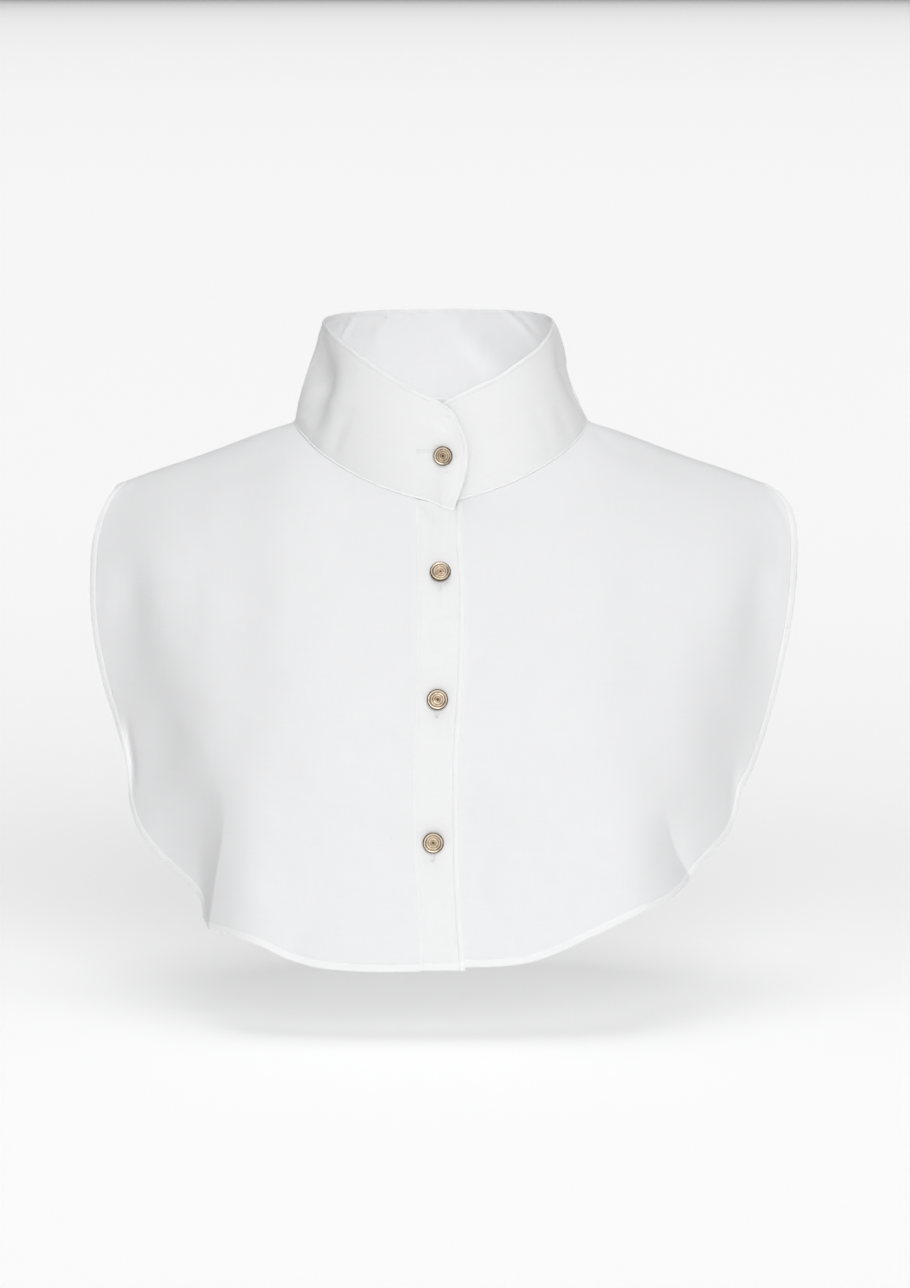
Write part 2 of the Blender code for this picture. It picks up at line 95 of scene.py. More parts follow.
# Free edge of each front, from the band to the shoulder tip: share of the way, across, height
RIGHT_FRONT_EDGE = (
    (0.00, -10.8, -264.6), (0.07, -31.0, -264.8), (0.15, -61.0, -263.3), (0.20, -76.0, -259.9),
    (0.26, -90.9, -252.9), (0.32, -106.4, -249.1), (0.37, -115.5, -248.2), (0.41, -120.9, -246.0),
    (0.45, -122.3, -237.2), (0.50, -127.9, -230.3), (0.54, -136.2, -224.1), (0.60, -148.7, -213.3),
    (0.65, -156.9, -201.9), (0.69, -160.5, -189.5), (0.73, -161.8, -173.3), (0.78, -168.1, -151.8),
    (0.83, -175.0, -130.5), (0.87, -179.6, -107.1), (0.90, -181.2, -84.0), (0.925, -181.0, -66.0),
    (0.945, -178.9, -52.9), (0.965, -175.5, -43.3), (0.982, -172.1, -37.1), (1.00, -167.5, -31.9),
)
LEFT_FRONT_EDGE = (
    (0.00, 7.8, -262.7), (0.07, 29.0, -262.0), (0.12, 44.4, -260.0), (0.17, 59.4, -255.0),
    (0.24, 79.6, -245.7), (0.30, 99.9, -236.9), (0.35, 113.0, -233.5), (0.39, 122.4, -228.5),
    (0.43, 127.9, -222.7), (0.48, 135.1, -215.4), (0.54, 141.3, -210.1), (0.59, 147.5, -203.6),
    (0.63, 151.1, -194.6), (0.67, 153.1, -185.5), (0.71, 158.9, -175.6), (0.75, 165.1, -161.2),
    (0.79, 170.7, -143.3), (0.83, 175.8, -122.6), (0.87, 180.4, -99.3), (0.90, 183.0, -76.4),
    (0.925, 183.9, -60.0), (0.945, 182.7, -48.9), (0.965, 179.7, -40.9), (0.982, 175.4, -36.1),
    (1.00, 170.0, -32.8),
)

# Creases: the deepest line of each from its top, as across, height, depth, reach towards the
# middle, reach towards the side. The first of each front is the upper part of its long fold.
RIGHT_FRONT_CREASES = (
    ((-160, -58, 0.0, 8, 10), (-157, -87, 3.0, 8, 10), (-154, -112, 3.5, 10, 12),
     (-150, -135, 3.0, 12, 14), (-140, -157, 3.8, 14, 18), (-132, -173, 3.4, 14, 18),
     (-127, -187, 1.8, 14, 18), (-126, -200, 0.0, 14, 18)),
    ((-78, 1, 0.5, 2, 3), (-86, -5, 1.3, 2.5, 4), (-91, -9, 0.9, 3, 4), (-99, -14, 0.0, 3, 4)),
    ((-78, -14, 0.2, 4, 4), (-93, -19, 1.5, 4, 5), (-110, -25, 1.3, 4, 6), (-130, -29, 0.0, 4, 6)),
    ((-152, -28, 0.0, 2, 2), (-162, -34, 0.9, 2, 2), (-171, -40, 1.0, 2, 2), (-177, -47, 0.3, 2, 2)),
    ((-156, -34, 0.0, 2, 2), (-164, -39, 0.9, 1.8, 2), (-173, -46, 0.8, 2, 2), (-179, -53, 0.2, 2, 2)),
    ((-159, -40, 0.0, 2, 2), (-166, -45, 0.7, 1.8, 2), (-174, -51, 0.5, 2, 2), (-179, -58, 0.0, 2, 2)),
    ((-162, -146, 0.0, 2, 2.2), (-160.6, -158, 2.8, 1.8, 2.2), (-158.9, -170, 3.2, 1.8, 2.2),
     (-158.2, -184, 0.4, 2, 2)),
    ((-50, -30, 0.5, 8, 8), (-54, -42, 0.9, 9, 9), (-58, -60, 0.0, 10, 10)),
    ((-64, -232, 0.0, 9, 9), (-70, -247, 1.0, 8, 8), (-74, -261, 1.6, 7, 7)),
)
LEFT_FRONT_CREASES = (
    ((168, -55, 0.0, 8, 10), (164, -80, 2.0, 8, 10), (160, -105, 2.5, 10, 12), (154, -130, 2.0, 12, 14),
     (152, -152, 2.6, 12, 12), (150, -168, 3.0, 10, 9), (149, -182, 2.6, 8, 7), (148, -194, 0.6, 7, 7)),
    ((76, 0, 0.6, 2, 3), (81, -5, 1.2, 2.5, 4), (88, -11, 0.9, 3, 4), (97, -17, 0.0, 3, 4)),
    ((88, -12, 0.2, 4, 4), (104, -17, 1.0, 4, 5), (122, -24, 0.8, 4, 6), (140, -32, 0.0, 4, 6)),
    ((165, -30, 0.0, 2, 2), (171, -38, 0.9, 2, 2), (177, -48, 0.9, 2, 2), (180, -56, 0.2, 2, 2)),
    ((171, -48, 0.0, 3, 3), (172, -56, 0.5, 3, 3), (172, -66, 0.4, 3, 3), (171, -76, 0.0, 3, 3)),
    ((150, -170, 0.0, 3, 3), (149, -179, 1.3, 2.5, 3), (148, -190, 1.4, 2.5, 3), (147, -202, 0.3, 3, 3)),
    ((18, -203, 0.0, 5, 6), (19, -214, 1.2, 5, 7), (20, -226, 1.2, 5, 7), (21, -240, 0.0, 6, 7)),
    ((62, -225, 0.0, 9, 9), (66, -238, 0.9, 8, 8), (70, -250, 1.4, 7, 7)),
)

# The lower end of each long fold. On the right front the cloth comes forward to a crisp edge at the
# reach towards the middle; on the left front it is pinched to a crisp line at its deepest.
RIGHT_FRONT_PLEAT = (
    (-131, -176, 0.0, 18, 16), (-127.5, -187, 3.0, 18, 18), (-126, -196, 6.0, 16.5, 20),
    (-125.5, -206, 8.8, 14.5, 22), (-124.5, -219, 11.0, 11.2, 24), (-123.2, -230, 12.6, 8.0, 26),
    (-122, -240, 13.6, 5.0, 28), (-121.5, -252, 14.0, 3.2, 30),
)
LEFT_FRONT_PINCH = (
    (112, -186, 0.0, 12, 10), (115, -197, 4.0, 12, 12), (118, -208, 6.5, 11, 13),
    (123, -219, 8.5, 10, 15), (130, -231, 9.5, 9, 17),
)

# Slow unevenness all over the cloth: wave length, direction in degrees, size, start
CLOTH_WAVES = (
    (61, 12, 0.30, 0.4), (47, 101, 0.22, 1.9), (36, 58, 0.16, 3.1),
    (27, 149, 0.10, 5.0), (19, 83, 0.05, 2.2), (15, 32, 0.04, 0.9),
)
WAVES_FULL_FROM_SHOULDER = 30.0

# Hem, by distance in from the free edge: lift of the outer face, thickness
HEM_SECTION = (
    (0.0, 0.08, 1.0), (0.7, 0.20, 1.1), (2.2, 0.26, 1.15), (3.5, 0.12, 1.1),
    (4.1, -0.12, 0.9), (4.7, 0.04, 0.6), (5.6, 0.0, CLOTH_THICKNESS), (CLOTH_END, 0.0, CLOTH_THICKNESS),
)
HEM_ROWS = (6.4, 5.6, 5.1, 4.7, 4.4, 4.1, 3.8, 3.5, 3.0, 2.2, 1.4, 0.9, 0.55, 0.3, 0.14, 0.04, 0.0)
HEM_STITCH_ROW = HEM_ROWS.index(HEM_STITCH_LINE) - len(HEM_ROWS)
THINNEST_EDGE = 0.22
# Whiteness of turned-in cloth near its edge: share, gone at, full to
HEM_WHITER = (0.48, HEM_STITCH_LINE + 0.3, HEM_STITCH_LINE - 0.2)
# Small ripples along the hem, largest at this distance from the edge
HEM_RIPPLE = 0.07
HEM_RIPPLE_REACH = 2.5
HEM_RIPPLE_MIDDLE = 3.0


def smooth(keys, values, at):
    """Smooth curve through the values at the keys; the values may have a column for each place."""
    keys = np.asarray(keys, float)
    values = np.asarray(values, float)
    at = np.clip(np.asarray(at, float), keys[0], keys[-1])
    if values.ndim == 1:
        values = np.repeat(values[:, None], at.size, axis=1).reshape((len(keys),) + at.shape)
    gaps = np.diff(keys).reshape((-1,) + (1,) * at.ndim)
    slopes = np.diff(values, axis=0) / gaps
    tangents = np.concatenate([slopes[:1], slopes[:-1], slopes[-1:]])
    tangents[1:-1] = (slopes[:-1] * gaps[1:] + slopes[1:] * gaps[:-1]) / (gaps[1:] + gaps[:-1])
    least = 3 * np.minimum(np.abs(slopes[:-1]), np.abs(slopes[1:]))
    turns_back = slopes[:-1] * slopes[1:] <= 0
    tangents[1:-1] = np.where(turns_back, 0, np.clip(tangents[1:-1], -least, least))
    left = np.clip(np.searchsorted(keys, at, side="right") - 1, 0, len(keys) - 2)
    gap = np.diff(keys)[left]
    t = (at - keys[left]) / gap

    def pick(table, index):
        return np.take_along_axis(table, index[None], axis=0)[0]

    return (
        pick(values, left) * (1 + 2 * t) * (1 - t) ** 2
        + pick(tangents, left) * gap * t * (1 - t) ** 2
        + pick(values, left + 1) * t * t * (3 - 2 * t)
        - pick(tangents, left + 1) * gap * t * t * (1 - t)
    )


def column(table, number):
    """One column of a table."""
    return [row[number] for row in table]


def from_table(table, at, number=1):
    """Smooth curve through one column of a table; its first column has the keys."""
    return smooth(column(table, 0), column(table, number), at)


def part_way(value, start, end):
    """Share from 0 to 1 of the way that a value has gone from start to end."""
    return np.clip((value - start) / (end - start), 0, 1)


def fading(distance, reach, middle=0.0):
    """Share that is 1 at the middle and fades softly on both sides of it."""
    return np.exp(-((distance - middle) / reach) ** 2)


def crease_depth(crease, across, height, section="soft"):
    """How far one crease sinks the cloth at each place. Its cross section is soft, or has a crisp
    edge on the side of the middle, or a crisp line along the deepest part."""
    steps = np.linspace(0, len(crease) - 1, 12 * len(crease))
    line = [smooth(range(len(crease)), column(crease, k), steps) for k in range(5)]
    places = np.arange(len(steps))
    away_x = across[..., None] - line[0]
    away_z = height[..., None] - line[1]
    nearest = np.argmin(away_x ** 2 + away_z ** 2, axis=-1)
    along_x = np.gradient(line[0])[nearest]
    along_z = np.gradient(line[1])[nearest]
    dx = np.take_along_axis(away_x, nearest[..., None], axis=-1)[..., 0]
    dz = np.take_along_axis(away_z, nearest[..., None], axis=-1)[..., 0]
    onward = np.clip((dx * along_x + dz * along_z) / (along_x ** 2 + along_z ** 2), -0.5, 0.5)
    place = np.clip(nearest + onward, 0, places[-1])
    dx = across - np.interp(place, places, line[0])
    dz = height - np.interp(place, places, line[1])
    on_first_side = (along_x * dz - along_z * dx) * math.copysign(1.0, line[0].mean()) < 0
    reach = np.where(on_first_side, np.interp(place, places, line[3]), np.interp(place, places, line[4]))
    share = np.sqrt(dx ** 2 + dz ** 2) / reach
    section_here = np.exp(-share ** 2)
    if section == "edge":
        section_here = np.where(on_first_side, np.clip(1 - share ** 2, 0, 1), section_here)
    if section == "line":
        section_here = np.exp(-1.5 * share)
    return np.interp(place, places, line[2]) * section_here


def waves(table, across, height):
    """Slow unevenness of a length of cloth."""
    total = np.zeros_like(across)
    for length, degrees, size, start in table:
        turn = math.radians(degrees)
        way = across * math.cos(turn) + height * math.sin(turn)
        total += size * np.sin(math.tau * way / length + start)
    return total


def shoulder_seam(across, which):
    """Height (1) or depth (2) of the shoulder seam."""
    return from_table(SHOULDER_SEAM, np.abs(across), which)


def section_depth(sections, across, drop):
    """Depth between the sections; near the shoulder it follows the root of the drop, so it is round."""
    across = np.abs(across)
    mirrored = (sections[1],) + sections
    keys = [-sections[1][0]] + column(sections, 0)
    roots = np.sqrt(DROPS)
    at = np.sqrt(np.maximum(drop, 0.0))
    depths = np.stack([smooth(roots, row[1:], at) for row in mirrored])
    return smooth(keys, depths, across)


def front_depth(across, height):
    """Outer face of the fronts, creases included."""
    drop = shoulder_seam(across, 1) - height
    depth = section_depth(FRONT_SECTIONS, across, drop)
    for crease in RIGHT_FRONT_CREASES + LEFT_FRONT_CREASES:
        depth = depth + crease_depth(crease, across, height)
    depth = depth + crease_depth(RIGHT_FRONT_PLEAT, across, height, "edge")
    depth = depth + crease_depth(LEFT_FRONT_PINCH, across, height, "line")
    return depth + waves(CLOTH_WAVES, across, height) * part_way(drop, 0, WAVES_FULL_FROM_SHOULDER)


def lap(across, full):
    """Set-back of a layer that lies under the one lapped over it near the middle."""
    share = part_way(across, LAP_GONE_AT, LAP_FULL_TO)
    return full * share * share * (3 - 2 * share)


def neck_height(degrees):
    """Height of the neck seam, the same on both sides."""
    folded_and_highlit = np.abs((np.asarray(degrees, float) + 180) % 360 - 180)
    return from_table(NECK_SEAM, folded_and_highlit)


def neck_places(degrees):
    """Neck edge of a panel; at the neck point it is tucked in a little under the collar."""
    sideways = np.sin(np.radians(degrees))
    tuck = NECK_POINT_TUCK * part_way(sideways, NECK_POINT_FROM, 1)
    return np.stack([NECK_HALF_WIDTH * sideways - tuck, neck_height(degrees)], axis=1)


def edge_places(table, shares):
    return np.stack([from_table(table, shares, k) for k in (1, 2)], axis=1)


def unit(vectors):
    return vectors / np.linalg.norm(vectors, axis=-1, keepdims=True)


def face_directions(grid, away_from):
    """Unit direction out of the cloth at each point of a grid."""
    directions = unit(np.cross(np.gradient(grid, axis=0), np.gradient(grid, axis=1)))
    outwards = ((grid - away_from) * directions).sum()
    return directions * math.copysign(1.0, outwards)


def grain_of(grid):
    """Distance along the cloth in both directions of a grid, which is where its threads run."""
    steps_u = np.linalg.norm(np.diff(grid, axis=0, prepend=grid[:1]), axis=-1)
    steps_v = np.linalg.norm(np.diff(grid, axis=1, prepend=grid[:, :1]), axis=-1)
    return np.stack([np.cumsum(steps_u, axis=0), np.cumsum(steps_v, axis=1)], axis=-1)


# The panels' grain is measured on a net that reaches past them all: step, across, height
GRAIN_STEP = 2.0
GRAIN_ACROSS = (-192.0, 194.0)
GRAIN_HEIGHT = (-276.0, 14.0)


def grain_of_panel(across, height, depth_of):
    """Threads of a panel run level and straight down, measured along the cloth."""
    level = np.arange(*GRAIN_ACROSS, GRAIN_STEP)
    upright = np.arange(*GRAIN_HEIGHT, GRAIN_STEP)
    xs, zs = np.meshgrid(level, upright, indexing="ij")
    grid = np.stack([xs, depth_of(xs, zs), zs], axis=-1)
    along = grain_of(grid)
    at_x = np.clip((across - level[0]) / GRAIN_STEP, 0, len(level) - 1.001)
    at_z = np.clip((height - upright[0]) / GRAIN_STEP, 0, len(upright) - 1.001)
    i, j = at_x.astype(int), at_z.astype(int)
    fx, fz = (at_x - i)[..., None], (at_z - j)[..., None]
    low = along[i, j] * (1 - fx) + along[i + 1, j] * fx
    high = along[i, j + 1] * (1 - fx) + along[i + 1, j + 1] * fx
    return low * (1 - fz) + high * fz


def put_in_scene(name, data):
    """New object in the scene that shows the data."""
    made = bpy.data.objects.new(name, data)
    bpy.context.scene.collection.objects.link(made)
    return made


def add_mesh(name, points, faces, finish):
    """Smooth-shaded mesh in metres that rides on the one body of this garment."""
    mesh = bpy.data.meshes.new(name)
    mesh.from_pydata((np.asarray(points, float) * METRES_PER_MM).tolist(), [], faces)
    mesh.shade_smooth()
    mesh.materials.append(finish)
    made = put_in_scene(name, mesh)
    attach(made, "root")
    return made


def sew_shell(name, outer, inner, grain, finish, folded_and_highlit):
    """Closed layer of cloth between two grids. The grain of the weave is kept with it, and the
    share to which it shows whiter: from folded-over layers, and from painted highlights."""
    columns, rows = outer.shape[:2]
    count = columns * rows
    number = np.arange(count).reshape(columns, rows)
    quads = np.stack([number[:-1, :-1], number[1:, :-1], number[1:, 1:], number[:-1, 1:]], axis=-1)
    quads = quads.reshape(-1, 4)
    rim = np.concatenate([number[:, 0], number[-1, 1:], number[-2::-1, -1], number[0, -2:0:-1]])
    after = np.roll(rim, -1)
    sides = np.stack([after, rim, rim + count, after + count], axis=-1)
    faces = np.concatenate([quads, quads[:, ::-1] + count, sides])
    points = np.concatenate([outer.reshape(-1, 3), inner.reshape(-1, 3)])
    a, b, c = (points[quads[:, k]] for k in range(3))
    if (np.cross(b - a, c - b) * (points[quads[:, 0]] - points[quads[:, 0] + count])).sum() < 0:
        faces = faces[:, ::-1]
    made = add_mesh(name, points, faces.tolist(), finish)
    made.data.set_sharp_from_angle(angle=math.radians(SHARP_DEGREES))
    threads = made.data.attributes.new("grain", "FLOAT_VECTOR", "POINT")
    flat = np.concatenate([grain.reshape(-1, 2), folded_and_highlit.reshape(-1, 1)], axis=1)
    threads.data.foreach_set("vector", np.concatenate([flat, flat]).ravel())
    return made


def hem_offsets(distance):
    """Offsets of the outer and inner faces along the direction out of the cloth, near a hem."""
    return rounded_edge(distance, from_table(HEM_SECTION, distance), from_table(HEM_SECTION, distance, 2))


def whiter_and_highlit(distance, whiteness, gone_at, full_to):
    """Cloth that is turned in along an edge shows whiter near it; along the band's edges and the collar's
    top edge this whiteness is partly a painted highlight.
    """
    return whiteness * part_way(distance, gone_at, full_to)


def raised(grid, directions, offsets):
    """Points of a grid moved along its directions."""
    return grid + directions * offsets[..., None]


def rounded_edge(distance, lift, thickness):
    """Outer and inner offsets of a layer whose edge is a soft round fold."""
    half = thickness / 2
    share = 1 - np.clip(1 - distance / half, 0, 1) ** 2
    half_here = half * np.sqrt(np.clip(share, THINNEST_EDGE ** 2, 1))
    return lift - half + half_here, lift - half - half_here


def make_thread(name, stitches, finish, radius=0.13):
    """Short lengths of thread, each a little bowed and sunk into the cloth at both ends."""
    sides = 5
    bow = np.array([-0.9, 0.35, 0.62, 0.35, -0.9]) * radius
    thin = np.array([0.55, 0.95, 1.0, 0.95, 0.55]) * radius
    turns = np.arange(sides) * math.tau / sides
    starts, ends, ups = (np.array(part) for part in zip(*stitches))
    share = np.linspace(0, 1, len(bow))[:, None]
    middle = starts[:, None] * (1 - share) + ends[:, None] * share + ups[:, None] * bow[:, None]
    along = unit(ends - starts)
    side = unit(np.cross(along, ups))
    up = np.cross(side, along)
    ring = np.cos(turns)[:, None] * side[:, None, None] + np.sin(turns)[:, None] * up[:, None, None]
    points = middle[:, :, None] + ring * thin[:, None, None]
    each = len(bow) * sides
    faces = []
    for k in range(len(bow) - 1):
        for s in range(sides):
            low, high = k * sides + s, k * sides + (s + 1) % sides
            faces.append((low, high, high + sides, low + sides))
    faces = np.array(faces)
    walls = (faces[None] + np.arange(len(starts))[:, None, None] * each).reshape(-1, 4).tolist()
    caps = []
    for n in range(len(starts)):
        first = n * each
        caps.append(list(range(first + sides - 1, first - 1, -1)))
        caps.append(list(range(first + each - sides, first + each)))
    made = add_mesh(name, points.reshape(-1, 3), walls + caps, finish)
    return made


def stitch_row(points, directions, length=1.9, gap=0.45, seed=1):
    """Stitches along a line of points on the cloth, slightly uneven as a machine leaves them."""
    way = np.concatenate([[0], np.cumsum(np.linalg.norm(np.diff(points, axis=0), axis=1))])
    count = int(way[-1] / (length + gap))
    begin = (np.arange(count) + 0.5) * (way[-1] / count) - length / 2
    uneven = np.random.RandomState(seed).uniform(-0.12, 0.12, (count, 2))
    stitches = []
    for start, (early, late) in zip(begin, uneven):
        spots = [start + early, start + length + late, start + length / 2]
        where = np.stack([np.interp(spots, way, points[:, k]) for k in range(3)], axis=1)
        up = unit(np.array([np.interp(spots[2], way, directions[:, k]) for k in range(3)]))
        stitches.append((where[0], where[1], up))
    return stitches


def add_node(tree, kind, **settings):
    node = tree.nodes.new(kind)
    for key, value in settings.items():
        setattr(node, key, value)
    return node


def set_inputs(node, settings):
    """Fixed values of a node's inputs, by their names."""
    for name, value in settings.items():
        node.inputs[name].default_value = value


def arithmetic(tree, operation, *values):
    """One step of arithmetic in a material; the values are sockets or numbers."""
    node = add_node(tree, "ShaderNodeMath", operation=operation)
    for socket, value in zip(node.inputs, values):
        if isinstance(value, (int, float)):
            socket.default_value = value
        else:
            tree.links.new(value, socket)
    return node.outputs[0]


def new_finish(name):
    """Material, its node tree and its shader."""
    made = bpy.data.materials.new(name)
    made.use_nodes = True
    return made, made.node_tree, made.node_tree.nodes["Principled BSDF"]


def add_bump(tree, shader, height, strength, distance):
    bump = add_node(tree, "ShaderNodeBump")
    set_inputs(bump, {"Strength": strength, "Distance": distance})
    tree.links.new(height, bump.inputs["Height"])
    tree.links.new(bump.outputs[0], shader.inputs["Normal"])


def mix_colours(tree, share, *colours):
    """Mix of two colours by a share; each is three numbers or a socket."""
    node = add_node(tree, "ShaderNodeMix", data_type="RGBA")
    tree.links.new(share, node.inputs[0])
    for socket, colour in zip((node.inputs[6], node.inputs[7]), colours):
        if isinstance(colour, tuple):
            socket.default_value = (*colour, 1.0)
        else:
            tree.links.new(colour, socket)
    return node.outputs[2]


def shaded(colour, factor):
    return tuple(min(1.0, part * factor) for part in colour)


# Folded to several layers the crepe lets less light through and shows whiter. The same colour also paints
# highlights on the band's edges and on the collar's ridge and top edge.
FOLDED_WHITE_AND_HIGHLIGHT = (0.935, 0.937, 0.940)


def crepe(name, colour, thread_pitch=0.30, weave_height=0.016, slub_height=0.02):
    """Fine white crepe: a plain weave of twisted threads, slightly uneven, with a soft dry sheen."""
    made, tree, shader = new_finish(name)
    grain = add_node(tree, "ShaderNodeAttribute", attribute_name="grain")
    apart = add_node(tree, "ShaderNodeSeparateXYZ")
    tree.links.new(grain.outputs["Vector"], apart.inputs[0])
    level, upright = apart.outputs[0], apart.outputs[1]

    def noise(along_u, along_v, detail):
        place = add_node(tree, "ShaderNodeCombineXYZ")
        tree.links.new(arithmetic(tree, "MULTIPLY", level, along_u), place.inputs[0])
        tree.links.new(arithmetic(tree, "MULTIPLY", upright, along_v), place.inputs[1])
        cloud = add_node(tree, "ShaderNodeTexNoise", noise_dimensions="3D")
        set_inputs(cloud, {"Scale": 1.0, "Detail": detail})
        tree.links.new(place.outputs[0], cloud.inputs["Vector"])
        return cloud.outputs["Fac"]

    twist = noise(2.2, 2.2, 2.0)
    pull = arithmetic(tree, "MULTIPLY", twist, 1.6)
    turn = math.pi / thread_pitch
    warp = arithmetic(tree, "SINE", arithmetic(tree, "MULTIPLY_ADD", level, turn, pull))
    weft = arithmetic(tree, "SINE", arithmetic(tree, "MULTIPLY_ADD", upright, turn, pull))
    weave = arithmetic(tree, "MULTIPLY", warp, weft)
    slub = arithmetic(tree, "ADD", noise(1.1, 0.03, 3.0), noise(0.03, 1.1, 3.0))
    pebble = noise(0.9, 0.9, 3.0)

    height = arithmetic(tree, "MULTIPLY", weave, weave_height)
    height = arithmetic(tree, "MULTIPLY_ADD", slub, slub_height, height)
    height = arithmetic(tree, "MULTIPLY_ADD", pebble, 0.03, height)
    add_bump(tree, shader, height, 1.0, METRES_PER_MM)

    shade = arithmetic(tree, "MULTIPLY", arithmetic(tree, "MULTIPLY_ADD", weave, 0.3, slub), 0.5)
    tint = mix_colours(tree, shade, shaded(colour, 0.972), shaded(colour, 1.02))
    # Whiter where the cloth is folded over, and where a highlight is painted along edges and the collar's
    # ridge
    with_folds_and_highlights = mix_colours(tree, apart.outputs[2], tint, FOLDED_WHITE_AND_HIGHLIGHT)
    tree.links.new(with_folds_and_highlights, shader.inputs["Base Color"])
    tree.links.new(arithmetic(tree, "MULTIPLY_ADD", pebble, 0.14, 0.70), shader.inputs["Roughness"])
    set_inputs(shader, {"Specular IOR Level": 0.32, "Sheen Weight": 0.12, "Sheen Roughness": 0.45})
    made.diffuse_color = (*colour, 1.0)
    return made


def sewing_thread(name, colour):
    """White sewing thread, twisted, a little brighter than the cloth."""
    made, tree, shader = new_finish(name)
    place = add_node(tree, "ShaderNodeTexCoord")
    ply = add_node(tree, "ShaderNodeTexNoise")
    set_inputs(ply, {"Scale": 3800.0})
    tree.links.new(place.outputs["Object"], ply.inputs["Vector"])
    tint = mix_colours(tree, ply.outputs["Fac"], shaded(colour, 0.93), colour)
    tree.links.new(tint, shader.inputs["Base Color"])
    add_bump(tree, shader, ply.outputs["Fac"], 0.6, 0.04 * METRES_PER_MM)
    set_inputs(shader, {"Roughness": 0.55, "Sheen Weight": 0.1})
    return made


white_crepe = crepe("white_crepe", (0.842, 0.844, 0.853))
white_thread = sewing_thread("white_thread", (0.86, 0.862, 0.872))


def panel_places(neck, edge):
    """Places of a panel's grid, and how far each is from the free edge."""
    lengths = np.linalg.norm(edge - neck, axis=1)[:, None]
    hem = np.array(HEM_ROWS)[None]
    plain = np.linspace(0, 1, FRONT_ROWS, endpoint=False)[None] * (1 - hem[:, :1] / lengths)
    shares = np.concatenate([plain, 1 - hem / lengths], axis=1)[..., None]
    places = neck[:, None] * (1 - shares) + edge[:, None] * shares
    return places, (1 - shares[..., 0]) * lengths


def make_panel(name, places, from_edge, depth_of, shoulder_ends, half_gap, full_lap=0.0):
    """Panel from the neck seam to the free edge, hemmed, with its shoulder end laid along the shoulder
    seam.
    """
    for end in shoulder_ends:
        places[end, :, 1] = shoulder_seam(places[end, :, 0], 1)
    across, height = places[..., 0], places[..., 1]
    outer = np.stack([across, depth_of(across, height) + lap(across, full_lap), height], axis=-1)
    directions = face_directions(outer, BIB_MIDDLE)
    for end in shoulder_ends:
        outer[end, :, 1] = shoulder_seam(across[end], 2) + half_gap
        directions[end, :, 1] = 0
    directions = unit(directions)
    top, under = hem_offsets(from_edge)
    rippled = np.sin(across * 1.31 + height * 1.13) * np.sin(across * 0.47 - height * 0.61)
    top = top + HEM_RIPPLE * rippled * fading(from_edge, HEM_RIPPLE_REACH, HEM_RIPPLE_MIDDLE)
    face = raised(outer, directions, top)
    made = sew_shell(name, face, raised(outer, directions, under), grain_of_panel(across, height, depth_of),
                     white_crepe, whiter_and_highlit(from_edge, *HEM_WHITER))
    return made, stitch_row(face[:, HEM_STITCH_ROW], directions[:, HEM_STITCH_ROW])


def edge_shares(columns):
    """Share of the way round the free edge of each column, closer together near the shoulder."""
    plain = np.linspace(0, SHOULDER_COLUMNS_FROM, columns, endpoint=False)
    close = 1 - (1 - SHOULDER_COLUMNS_FROM) * np.linspace(1, 0, SHOULDER_COLUMNS) ** 2
    return np.concatenate([plain, close])


# The front panels meet the button bands along the band's edges: height, sewn edge, folded edge
BAND_EDGES = (
    (-28, -13.8, 8.0), (-50, -12.4, 7.5), (-75, -12.2, 9.0),
    (-100, -12.2, 8.6), (-130, -12.5, 7.5), (-160, -14.0, 5.7),
    (-205, -13.5, 5.9), (-232, -11.6, 6.9), (-266, -10.5, 9.3),
)
BAND_SHAPE_FADES_AT = 0.2
UNDER_BAND_INSET = 2.0
UPPER_BAND_OUTSET = 2.9


def band_edge(height, which):
    """Sewn edge (1) or folded edge (2) of the button band at a height."""
    return from_table(BAND_EDGES[::-1], height, which)


def make_front(name, side, edge_table, band_side, full_lap):
    """One front: side is -1 for the wearer's right and +1 for the wearer's left."""
    shares = edge_shares(FRONT_COLUMNS)
    start = math.degrees(math.asin(abs(band_side(neck_height([0]))[0]) / NECK_HALF_WIDTH))
    neck = neck_places(start + (90 - start) * shares) * [side, 1]
    places, from_edge = panel_places(neck, edge_places(edge_table, shares))
    fade = part_way(shares[:, None], BAND_SHAPE_FADES_AT, 0) ** 2
    places[..., 0] += (band_side(places[0, :, 1]) - places[0, :, 0]) * fade
    return make_panel(name, places, from_edge, front_depth, (-1,), -SEAM_GAP / 2, full_lap)


right_front, right_hem = make_front(
    "front_right_cloth", -1, RIGHT_FRONT_EDGE, lambda z: band_edge(z, 1) - SEAM_GAP, 0.0)
left_front, left_hem = make_front(
    "front_left_cloth", 1, LEFT_FRONT_EDGE, lambda z: band_edge(z, 2) + SEAM_GAP - UNDER_BAND_INSET,
    FRONT_LAP)
right_hem_stitches = make_thread("front_right_hem_stitches", right_hem, white_thread)
left_hem_stitches = make_thread("front_left_hem_stitches", left_hem, white_thread)
for front, node, stitches in ((right_front, "front_right", right_hem_stitches),
                              (left_front, "front_left", left_hem_stitches)):
    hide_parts(node)

# The back: one layer of the same crepe with no middle seam, a little shorter than the fronts and
# hemmed in the same way. It hangs from the back of the neck seam and from both shoulder seams.

